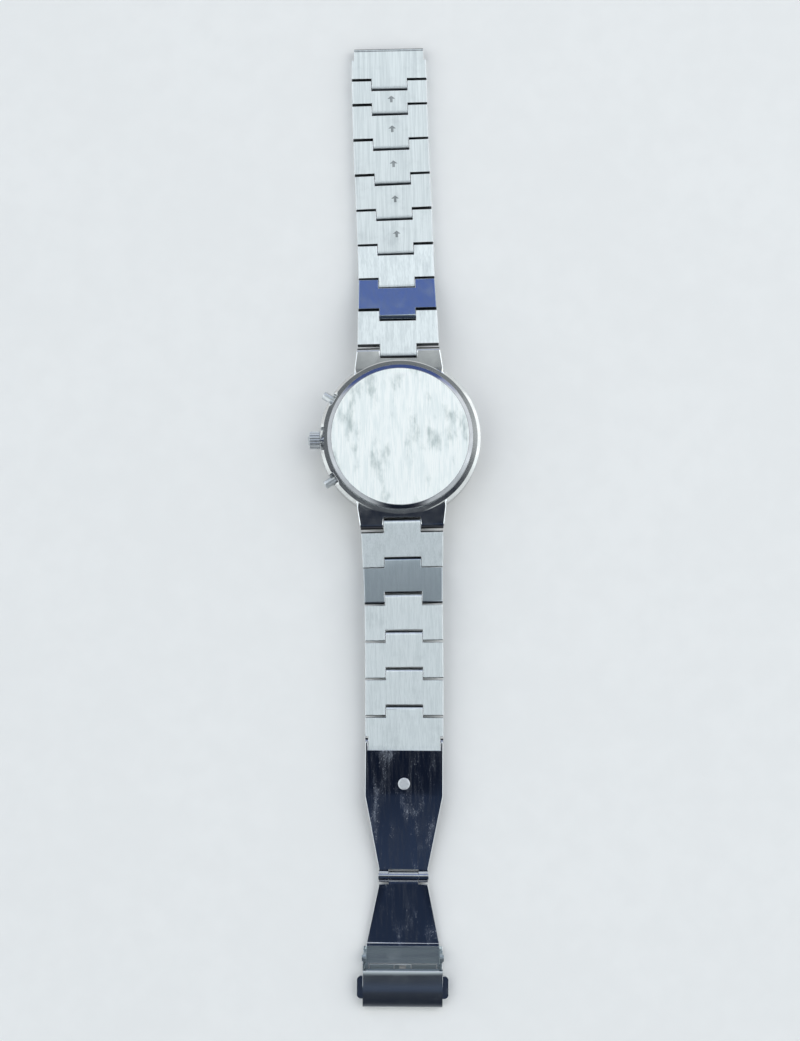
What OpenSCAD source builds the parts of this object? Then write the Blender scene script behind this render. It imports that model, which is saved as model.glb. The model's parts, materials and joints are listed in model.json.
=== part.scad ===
// Analog chronograph wristwatch with a link bracelet and a folding clasp.
// It lies face down: the crystal is on z = 0 and the case back looks up.
// +Y is twelve o'clock, -Y is six o'clock and the crown is on -X.

/* [Case] */
// Outside diameter of the round case
case_d = 38; // [37:0.1:41]
// Distance between the tips of opposite lugs
lug_span = 43.3; // [42.5:0.1:46]
// Width over a pair of lugs where they leave the case
lug_base_w = 21; // [20:0.1:23]
// Width over a pair of lugs at their tips
lug_tip_w = 19.5; // [19:0.1:20.5]
// Radius of the rounded lug tip
lug_r = 1.25; // [1.15:0.05:1.4]
// Height of the lug spring bars above the crystal face
lug_pin_z = 5.9; // [5:0.1:6.2]
// How far the crystal stands proud of the bezel
crystal_proud = 0.2; // [0.1:0.05:0.4]
// Width of the sloping bezel
bezel_w = 1.4; // [1:0.1:1.6]
// Height of the sloping bezel
bezel_h = 1.6; // [1:0.1:2]
// Width of the chamfer round the back of the case
back_chamfer_w = 0.75; // [0.4:0.05:1]
// Height of that chamfer
back_chamfer_h = 0.6; // [0.3:0.05:0.9]

/* [Case back] */
// Diameter of the case back where it meets the case
back_d = 34.4; // [33.8:0.1:35]
// Width of the polished bevel round the case back
back_bevel_w = 0.95; // [0.5:0.05:1]
// Height of that bevel
back_bevel_h = 0.85; // [0.5:0.05:1]
// Thickness of the case back plate
back_t = 1.3; // [1.1:0.05:1.6]
// Depth of the snap-in lip under the case back
back_lip_h = 0.5; // [0.3:0.05:0.6]
// Radial width of the lip
back_lip_w = 0.8; // [0.5:0.05:0.9]

/* [Crystal and dial] */
// Diameter of the crystal
crystal_d = 31.8; // [31:0.1:32]
// Thickness of the crystal
crystal_t = 1.5; // [1.2:0.05:1.8]
// Space for the hands between crystal and dial
dial_gap = 2; // [2:0.05:2.4]
// Diameter of the dial
dial_d = 30; // [29.4:0.1:30.2]
// Thickness of the dial
dial_t = 0.4; // [0.3:0.05:0.5]
// Width of the sloping ring round the dial
dial_ring_w = 1.3; // [0.8:0.1:1.6]
// Distance of each small dial from the centre
subdial_at = 6.6; // [6:0.1:7]
// Radius of each small dial
subdial_r = 3.8; // [3:0.1:4]
// Length of an hour marker
marker_l = 2.4; // [1.5:0.1:3]
// Width of an hour marker
marker_w = 0.8; // [0.5:0.05:1]
// Height of an hour marker
marker_h = 0.25; // [0.15:0.05:0.3]

/* [Movement] */
// Diameter of the movement
movement_d = 27; // [26:0.1:27.4]
// Thickness of the movement
movement_t = 3.4; // [3.2:0.05:4]
// Radial width of the holder round the movement
holder_w = 1.45; // [1:0.05:1.6]
// Clearance between movement and case back
movement_clear = 0.2; // [0.1:0.05:0.5]
// Diameter of the battery
battery_d = 9.5; // [7.9:0.1:9.5]
// Thickness of the battery
battery_t = 2; // [1.6:0.1:2.1]

/* [Hands] */
// Length of the hour hand
hour_l = 7.4; // [6:0.1:8]
// Length of the minute hand
minute_l = 11.4; // [9:0.1:12.4]
// Length of the chronograph seconds hand
seconds_l = 12; // [10:0.1:12.6]
// Length of a small hand
small_l = 2.9; // [2:0.1:3.2]
// Thickness of a hand
hand_t = 0.15; // [0.1:0.01:0.2]
// Radius of the chronograph seconds arbor
arbor_r = 0.35; // [0.3:0.01:0.4]
// Wall of the tubes that carry the minute and the hour hand
arbor_wall = 0.25; // [0.2:0.01:0.3]

/* [Crown and pushers] */
// Diameter of the crown
crown_d = 4.2; // [3.8:0.1:4.6]
// Length of the crown
crown_l = 2.38; // [2:0.02:3]
// Number of flutes round the crown
crown_flutes = 18; // [12:1:26]
// Length of the small tip on the crown
crown_tip_l = 0.45; // [0.2:0.05:0.6]
// Depth of the flat recess behind the crown
crown_recess = 1; // [0.8:0.05:1.2]
// Width of that recess
crown_recess_w = 5.5; // [5.2:0.1:6.5]
// How far the crown pulls out
crown_travel = 0.85; // [0.7:0.05:0.9]
// Radius of the winding stem
stem_r = 0.55; // [0.45:0.01:0.6]
// Height of the crown and pusher axes above the crystal face
crown_z = 4.95; // [4.8:0.05:5.1]
// Angle of each pusher from the crown
pusher_angle = 31; // [28:0.5:34]
// Diameter of a pusher
pusher_d = 2; // [1.8:0.05:2.2]
// How far a pusher stands out of the case
pusher_out = 2; // [1.5:0.1:2.5]
// How far a pusher travels
pusher_travel = 0.8; // [0.5:0.05:0.85]
// Depth of the notch in the case edge at a pusher
pusher_notch = 1.1; // [0.8:0.05:1.2]

/* [Bracelet] */
// Width of a bracelet link
link_w = 18.3; // [17.5:0.1:18.6]
// Width of the first link where it leaves the lugs
first_w = 19.4; // [19:0.1:20]
// Width between the first and the second link
second_w = 18.8; // [18.6:0.1:19]
// Thickness of a link
link_t = 2.3; // [2.2:0.05:2.4]
// Pitch of the bracelet, from pin to pin
link_p = 8.73; // [8.5:0.01:9.6]
// Pitch of the first link beside the lugs
first_p = 9.13; // [8.8:0.01:9.8]
// Pitch of the short adjusting link
short_p = 6.2; // [6:0.05:7.5]
// Length of the free end link, from pin to spring bar bore
end_p = 8.15; // [8:0.05:9.5]
// Pitch of the last link, which enters the clasp
clasp_link_p = 7.6; // [7.5:0.05:9]
// Width of the tongue on a link
tongue_w = 8.6; // [7.5:0.1:9.5]
// Clearance on each side of a tongue
tongue_side = 0.12; // [0.08:0.01:0.2]
// Gap between the shoulder of a link and the link before it
link_gap = 0.45; // [0.42:0.01:0.6]
// Gap between the end of a tongue and the notch that holds it
tongue_gap = 0.3; // [0.28:0.01:0.5]
// Gap between the lug tips and the first link
lug_gap = 0.7; // [0.3:0.05:0.8]
// Rounding of the far end of a link
link_round = 0.3; // [0.25:0.05:0.5]
// Rounding of the narrow ends that turn in the clasp
end_round = 0.9; // [0.6:0.05:1.05]
// Rounding of the end of a tongue
tongue_round = 0.45; // [0.45:0.05:0.7]
// Rounding of a link's shoulder
shoulder_round = 0.12; // [0.05:0.01:0.2]
// Chamfer along the sides of a link
link_chamfer = 0.18; // [0.1:0.02:0.3]
// Radius of a link pin
pin_r = 0.5; // [0.4:0.01:0.55]
// How deep a pin's ends lie in the link's sides
pin_inset = 0.2; // [0.1:0.05:0.4]
// Radius of a lug spring bar
bar_r = 0.75; // [0.65:0.01:0.78]
// Radius of a spring bar's tips
bar_tip_r = 0.42; // [0.35:0.01:0.5]
// Width of the free end link before its narrow end
end_w = 18; // [17.6:0.1:18.3]
// Width of the narrow end of the free end link
end_neck_w = 16.8; // [16:0.1:17]
// Length of that narrow end
end_neck_l = 3; // [2.6:0.1:3.5]

/* [Clasp] */
// Outside width of the inner blade's channel
blade_w = 18.1; // [17.6:0.1:18.3]
// Thickness of the blades
blade_t = 0.6; // [0.5:0.05:0.7]
// Thickness of the channel's side walls
blade_wall = 0.6; // [0.5:0.05:0.7]
// Width of both blades at the hinge
hinge_w = 11.4; // [11:0.1:12]
// Distance from the clasp's hinge to the pin of the last link
blade_l = 30.8; // [30.2:0.1:31.5]
// Distance from the hinge to the end of the channel
channel_at = 18.6; // [17.5:0.1:19.3]
// Distance from the hinge to the stud
stud_at = 21.4; // [21:0.1:21.5]
// Radius of the stud's head
stud_r = 1.05; // [0.95:0.01:1.1]
// Radius of the stud's domed rivet end
rivet_r = 1.4; // [1.2:0.05:1.5]
// Radius of the hinge knuckles, which rest on the table
knuckle_r = 1.3; // [1.2:0.05:1.4]
// Radius of the hinge pin
hinge_pin_r = 0.72; // [0.6:0.01:0.8]
// Distance from the hinge to the step before the pocket
pocket_at = 15.9; // [15.2:0.1:16]
// Width of the outer blade at that step
outer_w = 17; // [16.6:0.1:17.1]
// Distance from the hinge to the holes in the clasp's ears
ear_at = 18.4; // [18.3:0.05:18.6]
// Thickness of an ear
ear_t = 0.65; // [0.5:0.05:0.7]
// Width of the hinge's middle knuckle
knuckle_w = 6.8; // [6:0.1:7.5]
// Distance from the hinge to the cover
cover_at = 20.85; // [20.75:0.05:21.05]
// Length of the cover
cover_l = 8.7; // [8.2:0.1:8.9]
// Width of the cover
cover_w = 18.4; // [18.3:0.1:18.9]
// Height of the cover's top above the top of the end link it holds
cover_rise = 0.3; // [0.2:0.05:0.6]
// Wall of the cover
cover_wall = 0.55; // [0.4:0.05:0.6]
// Length of a release button
button_l = 5.2; // [4.5:0.1:5.6]
// Height of a release button
button_h = 1.3; // [1.1:0.05:1.35]
// How far a release button stands out of the cover
button_out = 1.4; // [1.1:0.1:1.5]
// How far a release button travels
button_travel = 0.9; // [0.6:0.05:0.95]

/* [Hidden] */
$fn = 48;

// Clearances: press and rest fits in one body, and running fits of turning pieces
seat_clear = 0.02;
pin_fit = 0.01;
run_fit = 0.05;
cut = 1;
steel = [0.78, 0.8, 0.82];

// Heights of the case's layers, from the crystal face up
dial_z = crystal_t + dial_gap;
movement_z = dial_z + dial_t;
back_z = movement_z + movement_t + movement_clear;
top_z = back_z + back_t;

// Radii inside the case
case_r = case_d/2;
holder_gap = 0.05;
bore_gap = 0.05;
holder_r = movement_d/2 + holder_gap + holder_w;
bore_r = holder_r + bore_gap;
dial_bore_r = dial_d/2 + bore_gap;
gasket_w = 0.4;
crystal_seat_r = crystal_d/2 + gasket_w;
back_lip_r = back_d/2 - 1;
back_seat_r = back_lip_r + 0.1;
gasket_h = 0.2;
back_seat_z = back_z - back_lip_h - gasket_h;
crystal_chamfer = 0.25;

// Levels of the hands in the space between crystal and dial
seconds_z = crystal_t + 0.4;
minute_z = seconds_z + hand_t + 0.25;
hour_z = minute_z + hand_t + 0.25;
small_z = dial_z - 0.35;
arbor_end_z = movement_z + 1;
arbor_hole_z = arbor_end_z + 0.15;
minute_tube_r = arbor_r + run_fit + arbor_wall;
hour_tube_r = minute_tube_r + run_fit + arbor_wall;
centre_hole_r = hour_tube_r + run_fit;
small_arbor_r = 0.3;
subdial_depth = 0.08;
subdials = [[-subdial_at, 0], [subdial_at, 0], [0, -subdial_at]];

// Time that the hands show, and how far it turns them clockwise on the dial
shown_hour = 10 + 10/60;
shown_minute = 10;
shown_second = 25;
hour_turn = 30*shown_hour;
minute_turn = 6*shown_minute;
day_turn = 15*shown_hour;
second_turn = 6*shown_second;

// Crown, shown pulled out as for setting, and its tube, stem and lever
crown_floor = case_r - crown_recess;
crown_in = 0.12;
crown_tip_r = crown_d/2 - 0.5;
crown_tip_taper = 0.7;
flute_r = 0.24;
flute_out = 0.08;
stem_short = 0.55;
stem_bore_short = 0.5;
crown_hollow_l = 1;
crown_under = 0.35;
crown_at = crown_floor + crown_in + crown_travel;
crown_end = crown_at + crown_l;
tube_out = 0.35;
crown_tube_r = stem_r + run_fit + 0.45;
crown_hollow_r = crown_tube_r + 0.15;
stem_groove_r = stem_r - 0.2;
lever_t = 0.3;
lever_w = 2.2;
lever_slot = 0.2;
lever_at = movement_d/2 - 1.2;
battery_place = [5.6, 5.6, movement_z + movement_t - battery_t];
stem_end = lever_at - lever_t/2 - 0.6;
pusher_r = pusher_d/2;
pusher_base = case_r - pusher_notch + 0.1;
pusher_end = case_r + pusher_out;
pusher_well_r = pusher_r + 0.1;
pusher_notch_w = pusher_d + 0.6;
pusher_well_at = pusher_base - pusher_travel - 0.15;
pusher_stem_r = pusher_r - 0.55;
holder_way = 0.2;
stem_way_r = pusher_stem_r + 0.15;
pusher_tube_r = pusher_stem_r + run_fit + 0.4;
pusher_stem_end = movement_d/2 + 0.35;
spring_w = 0.25;

// Bracelet: from the case outwards, with the slope of each link as it lies
link_r = link_t/2;
lug_pin_y = lug_span/2 - lug_r;
first_shoulder = lug_r + lug_gap;
lug_root_in = 2.4;
lug_step = 0.12;
lug_root = case_r - lug_root_in;
lug_under = crystal_proud + bezel_h;
lug_top = back_z - lug_step;
shoulder = link_r + link_gap;
link_joined = 1;
tongue_joined = 1.4;
notch_at = link_r + tongue_gap;
notch_w = tongue_w + 2*tongue_side;
upper_p = [first_p, link_p, link_p, link_p, link_p, link_p, link_p, short_p, end_p];
lower_p = [first_p, link_p, link_p, link_p, link_p, clasp_link_p];
upper_w = [first_w, second_w, link_w, link_w, link_w, link_w, link_w, link_w, link_w, end_w];
upper_n = len(upper_p);
lower_n = len(lower_p);
clasp_pin_rise = 1.15;
clasp_pin_z = knuckle_r + clasp_pin_rise;
upper_first = 5;
upper_third = 6;
upper_fourth = 1;
lower_first = 15;
lower_second = -6;
upper_drop = lug_pin_z - link_r
    - first_p*sin(upper_first) - link_p*(sin(upper_third) + sin(upper_fourth));
upper_second = asin(upper_drop/link_p);
lower_drop = lug_pin_z - clasp_pin_z - first_p*sin(lower_first) - link_p*sin(lower_second);
lower_rest = asin(lower_drop/(3*link_p + clasp_link_p));
upper_a = [upper_first, upper_second, upper_third, upper_fourth, 0, 0, 0, 0, 0];
lower_a = [lower_first, lower_second, lower_rest, lower_rest, lower_rest, lower_rest];
upper_turn = [0, 0.2, 0.6, 1.1, 1.5, 1.2, 0.7, 0.2, 0];
lower_turn = [0, -0.2, -0.3, -0.7, -1.2, -1.4];
clasp_turn = -1.6;
arrow_links = [3, 4, 5, 6, 7];

// Clasp: the hinge's place and how far the outer blade hangs below level
ear_clear = 0.1;
ear_foot = 1.8;
window_before = 0.5;
ridge_in = 0.2;
ridge_rise = 0.2;
wall_from = 0.8;
wall_run_in = 1;
wall_run_out = 1.2;
pin_proud = 0.15;
clasp_neck_w = blade_w - 2*blade_wall - 2*ear_clear;
clasp_neck_l = 2*link_r + link_gap;
hinge_drop = clasp_pin_z - knuckle_r;
blade_top = hinge_drop + link_r;
blade_gap = 0.1;
blade_edge = knuckle_r + 0.4;
wall_low = 0.05 - hinge_drop;
clasp_sag = asin((knuckle_r + blade_gap)/(cover_at + cover_l));
knuckle_x = knuckle_w/2 + 0.1;
stud_neck_r = 0.65;
stud_foot = 0.1;
stud_edge = 0.2;
stud_head_h = 0.4;
rivet_dome = 0.3;
ear_z = blade_gap + blade_t + 0.1 + link_r;
ear_in = end_neck_w/2 + ear_clear;
cover_top = ear_z + link_r + cover_rise;
cover_fall_r = 9;
cover_level = 3.6;
stud_way_h = 1.35;
ridge_w = 0.8;
knob_r = 0.8;
knob_out = 0.3;
cover_low = blade_gap + blade_t;
strip_w = 1.3;
button_from = 4.2;
button_round = 1.1;
button_y = cover_at + button_from;
cover_front_h = 1;
cover_chamfer = 0.4;
cover_top_from = 1.5;
cover_end_h = 1.1;
cover_fall_to = 61;
catch_arm_past = 1.9;
catch_arm_side = 0.35;
button_z = cover_low + 0.15 + button_h/2;
arm_t = 0.22;
arm_low = blade_gap + 0.05;
arm_x = cover_w/2 - strip_w - 0.1;
post_w = 0.8;

// Points of an arc, in a plane
function arc(c, r, a0, a1, n = 5) =
    [for (i = [0:n]) c + r*[cos(a0 + (a1 - a0)*i/n), sin(a0 + (a1 - a0)*i/n)]];
// Outline of a bar from y0 to y1, of half height h, with round corners at both ends
function bar_outline(y0, y1, h, r0, r1) = concat(
    arc([y0 + r0, -h + r0], r0, 180, 270), arc([y1 - r1, -h + r1], r1, 270, 360),
    arc([y1 - r1, h - r1], r1, 0, 90), arc([y0 + r0, h - r0], r0, 90, 180));
// Cross-section of a bar of width w and half height h with chamfered edges
function cross_outline(w, h, c) = [
    [-w/2 + c, -h], [w/2 - c, -h], [w/2, -h + c], [w/2, h - c],
    [w/2 - c, h], [-w/2 + c, h], [-w/2, h - c], [-w/2, -h + c]];
// Place of the hinge at the start of link i in a strand of pitches p, slopes a and turns w
function chain(p, a, w, i) = i == 0 ? [0, lug_pin_y, lug_pin_z] : chain(p, a, w, i - 1)
    + p[i - 1]*[-cos(a[i - 1])*sin(w[i - 1]), cos(a[i - 1])*cos(w[i - 1]), -sin(a[i - 1])];

// A solid of the outline pts in the YZ plane, w wide along X
module slab(pts, w)
    rotate([90, 0, 90])
        translate([0, 0, -w/2])
            linear_extrude(w)
                polygon(pts);

// A cylinder along X from x0 to x1
module rod(r, x0, x1)
    translate([x0, 0, 0])
        rotate([0, 90, 0])
            cylinder(r = r, h = x1 - x0);

// A bar along Y with a chamfered cross-section, w0 wide at y0 and w1 wide at y1
module tapered_bar(w0, w1, y0, y1, h, c) {
    if (w0 == w1)
        translate([0, y1, 0])
            rotate([90, 0, 0])
                linear_extrude(y1 - y0)
                    polygon(cross_outline(w0, h, c));
    else
        hull() {
            translate([0, y0 + 0.01, 0])
                rotate([90, 0, 0])
                    linear_extrude(0.01)
                        polygon(cross_outline(w0, h, c));
            translate([0, y1, 0])
                rotate([90, 0, 0])
                    linear_extrude(0.01)
                        polygon(cross_outline(w1, h, c));
        }
}

// Places children in the frame of link i of the strand towards twelve o'clock
module on_upper(i)
    translate(chain(upper_p, upper_a, upper_turn, i))
        rotate([-upper_a[i], 0, upper_turn[i]])
            children();

// Places children in the frame of link i of the strand towards six o'clock
module on_lower(i)
    rotate([0, 0, 180])
        translate(chain(lower_p, lower_a, lower_turn, i))
            rotate([-lower_a[i], 0, lower_turn[i]])
                children();

// Places children in the frame of the inner blade, whose origin is its link pin
module on_inner_blade()
    rotate([0, 0, 180])
        translate(chain(lower_p, lower_a, lower_turn, lower_n))
            rotate([0, 0, clasp_turn])
                children();

// Places children in the frame of the outer blade, whose origin is the clasp hinge
module on_outer_blade()
    on_inner_blade()
        translate([0, blade_l, -hinge_drop])
            rotate([-clasp_sag, 0, 0])
                children();

// Turns children to the axis of the crown (side 0) or of a pusher (side -1 or 1)
module on_side(side)
    translate([0, 0, crown_z])
        rotate([0, 0, 180 - side*pusher_angle])
            children();

// Small arrow that shows which way a link's pin is driven out
module pin_arrow()
    translate([0, link_p/2, link_r - 0.07])
        linear_extrude(cut)
            polygon([[-0.18, -0.8], [0.18, -0.8], [0.18, 0.1], [0.55, 0.1], [0, 0.85], [-0.55, 0.1], [-0.18, 0.1]]);

// Body of a link: shoulder at y0, full width to the far end, tongue towards the case
module link_solid(p, w0, w1, y0, neck_w, neck_l) {
    y1 = p + link_r;
    intersection() {
        tapered_bar(w0, w1, y0 - cut, y1 + cut, link_r, link_chamfer);
        union() {
            slab(bar_outline(y0, neck_w > 0 ? y1 - neck_l : y1, link_r, shoulder_round,
                neck_w > 0 ? shoulder_round : link_round), w0 + w1);
            if (neck_w > 0)
                slab(bar_outline(y0 + link_joined, y1, link_r, link_round, end_round), neck_w);
        }
    }
    intersection() {
        tapered_bar(tongue_w, tongue_w, -link_r - cut, y0 + link_joined, link_r, link_chamfer/2);
        slab(bar_outline(-link_r, y0 + tongue_joined, link_r, tongue_round, tongue_round), tongue_w + cut);
    }
}

// Link with a notch and pin holes at its far end
module notched_link(p, w0, w1, y0 = shoulder, near_r = pin_r + run_fit, arrow = false)
    difference() {
        link_solid(p, w0, w1, y0, 0, 0);
        translate([-notch_w/2, p - notch_at, -link_t])
            cube([notch_w, link_t + cut, 2*link_t]);
        rod(near_r, -w0, w0);
        translate([0, p, 0])
            rod(pin_r + pin_fit, -w0, w0);
        if (arrow)
            translate([0, (p - link_p)/2, 0])
                pin_arrow();
    }

// End link of width w before a narrow far end, with one long hole through that end
module end_link(p, w, neck_w, neck_l, far_r)
    difference() {
        link_solid(p, link_w, w, shoulder, neck_w, neck_l);
        rod(pin_r + run_fit, -link_w, link_w);
        translate([0, p, 0])
            rod(far_r, -link_w, link_w);
    }

// Pin through the far end of a link of width w
module link_pin(p, w)
    translate([0, p, 0])
        rod(pin_r, -w/2 + pin_inset, w/2 - pin_inset);

// Spring bar of body length l with a tip at each end
module spring_bar(l, tip) {
    rod(bar_r, -l/2, l/2);
    rod(bar_tip_r, -l/2 - tip, l/2 + tip);
}

// One pair of lugs, on the +Y side: straight to their root, then narrower towards the tips
module lug_pair() {
    inside = 4;
    tip = lug_pin_y + lug_r;
    intersection() {
        linear_extrude(top_z)
            polygon([[-lug_base_w/2, inside], [lug_base_w/2, inside], [lug_base_w/2, lug_root],
                [lug_tip_w/2, tip], [-lug_tip_w/2, tip], [-lug_base_w/2, lug_root]]);
        slab(concat([[inside, lug_top], [inside, lug_under], [lug_root, lug_under]],
            arc([lug_pin_y, lug_pin_z], lug_r, -70, 80, 12), [[lug_root, lug_top]]),
            lug_base_w + cut);
    }
}

module case_middle() color(steel) {
    difference() {
        union() {
            rotate_extrude($fn = 96)
                polygon([[0, crystal_proud], [case_r - bezel_w, crystal_proud],
                    [case_r, crystal_proud + bezel_h], [case_r, back_z - back_chamfer_h],
                    [case_r - back_chamfer_w, back_z], [0, back_z]]);
            lug_pair();
            rotate([0, 0, 180])
                lug_pair();
        }
        translate([0, 0, -cut])
            cylinder(r = dial_bore_r, h = movement_z + cut, $fn = 96);
        translate([0, 0, movement_z])
            cylinder(r = bore_r, h = top_z, $fn = 96);
        translate([0, 0, -cut])
            cylinder(r = crystal_seat_r, h = crystal_t + cut, $fn = 96);
        translate([0, 0, back_seat_z])
            cylinder(r = back_seat_r, h = top_z, $fn = 96);
        for (turn = [0, 180])
            rotate([0, 0, turn]) {
                translate([-notch_w/2, lug_pin_y - notch_at, -cut])
                    cube([notch_w, 2*lug_r + cut, top_z]);
                translate([0, lug_pin_y, lug_pin_z])
                    rod(bar_tip_r + pin_fit, -notch_w/2 - 1, notch_w/2 + 1);
            }
        on_side(0) {
            translate([crown_floor, -crown_recess_w/2, -crown_d/2 - crown_under])
                cube([case_r, crown_recess_w, top_z]);
            rod(crown_tube_r + pin_fit, 0, case_r);
        }
        for (side = [-1, 1])
            on_side(side) {
                rod(pusher_tube_r + pin_fit, bore_r - cut, case_r);
                rod(pusher_well_r, pusher_well_at, case_r + cut);
                translate([case_r - pusher_notch, -pusher_notch_w/2, 0])
                    cube([case_r, pusher_notch_w, top_z]);
            }
    }
}

module case_back() color([0.86, 0.88, 0.89])
    rotate_extrude($fn = 96)
        polygon([[0, back_z], [back_lip_r - back_lip_w, back_z],
            [back_lip_r - back_lip_w, back_z - back_lip_h], [back_lip_r, back_z - back_lip_h],
            [back_lip_r, back_z], [back_d/2, back_z], [back_d/2, top_z - back_bevel_h],
            [back_d/2 - back_bevel_w, top_z], [0, top_z]]);

module case_gaskets() color([0.12, 0.12, 0.13]) {
    rotate_extrude($fn = 96)
        polygon([[crystal_d/2 + seat_clear, crystal_proud + 0.15],
            [crystal_seat_r - seat_clear, crystal_proud + 0.15],
            [crystal_seat_r - seat_clear, crystal_t], [crystal_d/2 + seat_clear, crystal_t]]);
    rotate_extrude($fn = 96)
        polygon([[back_lip_r - back_lip_w, back_seat_z], [back_lip_r, back_seat_z],
            [back_lip_r, back_seat_z + gasket_h], [back_lip_r - back_lip_w, back_seat_z + gasket_h]]);
}

module crystal() color([0.75, 0.85, 0.9, 0.4])
    rotate_extrude($fn = 96)
        polygon([[0, 0], [crystal_d/2 - crystal_chamfer, 0], [crystal_d/2, crystal_chamfer],
            [crystal_d/2, crystal_t], [0, crystal_t]]);

module dial() color([0.12, 0.17, 0.3])
    difference() {
        translate([0, 0, dial_z])
            cylinder(r = dial_d/2, h = dial_t, $fn = 96);
        translate([0, 0, dial_z - cut])
            cylinder(r = centre_hole_r, h = dial_t + 2*cut);
        for (at = subdials)
            translate([at[0], at[1], dial_z - cut]) {
                cylinder(r = small_arbor_r + run_fit, h = dial_t + 2*cut);
                cylinder(r = subdial_r, h = cut + subdial_depth);
            }
    }

module dial_ring() color([0.75, 0.77, 0.8])
    rotate_extrude($fn = 96)
        polygon([[dial_d/2 - dial_ring_w, dial_z], [dial_d/2 - dial_ring_w, dial_z - 0.2],
            [dial_d/2 - dial_ring_w/2, crystal_t], [dial_d/2, crystal_t], [dial_d/2, dial_z]]);

module hour_markers() color([0.9, 0.91, 0.93]) {
    outer = dial_d/2 - dial_ring_w - 0.35;
    for (hour = [0:11]) {
        beside_small = hour == 3 || hour == 6 || hour == 9;
        length = beside_small ? outer - subdial_at - subdial_r - 0.3 : marker_l;
        width = hour == 0 ? 2*marker_w + 0.3 : marker_w;
        rotate([0, 0, 30*hour])
            translate([-width/2, outer - length, dial_z - marker_h])
                cube([width, length, marker_h]);
    }
}

module movement() color([0.8, 0.72, 0.5])
    difference() {
        translate([0, 0, movement_z])
            cylinder(r = movement_d/2, h = movement_t, $fn = 96);
        translate(battery_place - [0, 0, 2*holder_gap])
            cylinder(r = battery_d/2 + holder_gap, h = battery_t + cut);
        translate([0, 0, movement_z - cut])
            cylinder(r = centre_hole_r, h = arbor_hole_z - movement_z + cut);
        for (at = subdials)
            translate([at[0], at[1], movement_z - cut])
                cylinder(r = small_arbor_r + run_fit, h = arbor_hole_z - movement_z + cut);
        on_side(0) {
            rod(stem_r + run_fit, stem_end - crown_travel - 0.2, case_r);
            translate([lever_at - crown_travel - lever_t, -lever_w/2 - lever_slot, movement_z - crown_z - cut])
                cube([crown_travel + 2*lever_t, lever_w + 2*lever_slot, crown_z - movement_z + 2*cut]);
        }
        for (side = [-1, 1])
            on_side(side)
                rod(stem_way_r, pusher_stem_end - pusher_travel - 0.25, case_r);
    }

module movement_holder() color([0.9, 0.9, 0.88])
    difference() {
        translate([0, 0, movement_z])
            cylinder(r = holder_r, h = movement_t, $fn = 96);
        translate([0, 0, movement_z - cut])
            cylinder(r = movement_d/2 + holder_gap, h = movement_t + 2*cut, $fn = 96);
        on_side(0)
            rod(stem_r + holder_way, 0, case_r);
        for (side = [-1, 1])
            on_side(side)
                rod(pusher_stem_r + holder_way, 0, case_r);
    }

module battery() color([0.85, 0.85, 0.86])
    translate(battery_place - [0, 0, holder_gap])
        cylinder(r = battery_d/2, h = battery_t);

module case_tubes() color([0.7, 0.71, 0.73]) {
    on_side(0)
        difference() {
            rod(crown_tube_r, bore_r + 0.05, crown_floor + tube_out);
            rod(stem_r + run_fit, 0, case_r);
        }
    for (side = [-1, 1])
        on_side(side)
            difference() {
                rod(pusher_tube_r, bore_r + 0.05, pusher_well_at);
                rod(pusher_stem_r + run_fit, 0, case_r);
            }
}

module lug_spring_bars() color(steel)
    for (turn = [0, 180])
        rotate([0, 0, turn])
            translate([0, lug_pin_y, lug_pin_z])
                spring_bar(notch_w - 2*seat_clear, 0.9);

// Flat hand that points to twelve o'clock, with a round boss and a short tail
module hand(l, w, boss, tail, z)
    translate([0, 0, z]) {
        cylinder(r = boss, h = hand_t);
        linear_extrude(hand_t)
            polygon([[-w/2, -tail], [w/2, -tail], [w/2, l - w], [0, l], [-w/2, l - w]]);
    }

module hour_hand() color([0.9, 0.91, 0.93])
    rotate([0, 0, hour_turn])
        difference() {
            union() {
                hand(hour_l, 1, hour_tube_r + 0.25, 1.6, hour_z);
                translate([0, 0, hour_z])
                    cylinder(r = hour_tube_r, h = arbor_end_z - hour_z);
            }
            translate([0, 0, hour_z - cut])
                cylinder(r = minute_tube_r + run_fit, h = arbor_end_z);
        }

module minute_hand() color([0.9, 0.91, 0.93])
    rotate([0, 0, minute_turn])
        difference() {
            union() {
                hand(minute_l, 0.8, minute_tube_r + 0.25, 2, minute_z);
                translate([0, 0, minute_z])
                    cylinder(r = minute_tube_r, h = arbor_end_z - minute_z);
            }
            translate([0, 0, minute_z - cut])
                cylinder(r = arbor_r + run_fit, h = arbor_end_z);
        }

module chrono_seconds_hand() color([0.85, 0.2, 0.15]) {
    hand(seconds_l, 0.3, arbor_r + 0.3, 3.6, seconds_z);
    translate([0, 0, seconds_z])
        cylinder(r = arbor_r, h = arbor_end_z - seconds_z);
}

// Small hand on its own arbor over the small dial at the place at, turned by angle
module small_hand(at, angle)
    translate([at[0], at[1], 0])
        rotate([0, 0, angle]) {
            hand(small_l, 0.3, small_arbor_r + 0.2, 0.9, small_z);
            translate([0, 0, small_z])
                cylinder(r = small_arbor_r, h = arbor_end_z - small_z);
        }

module day_counter_hand() color([0.9, 0.91, 0.93])
    small_hand(subdials[0], day_turn);

module minute_counter_hand() color([0.9, 0.91, 0.93])
    small_hand(subdials[1], 0);

module small_seconds_hand() color([0.9, 0.91, 0.93])
    small_hand(subdials[2], second_turn);

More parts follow.
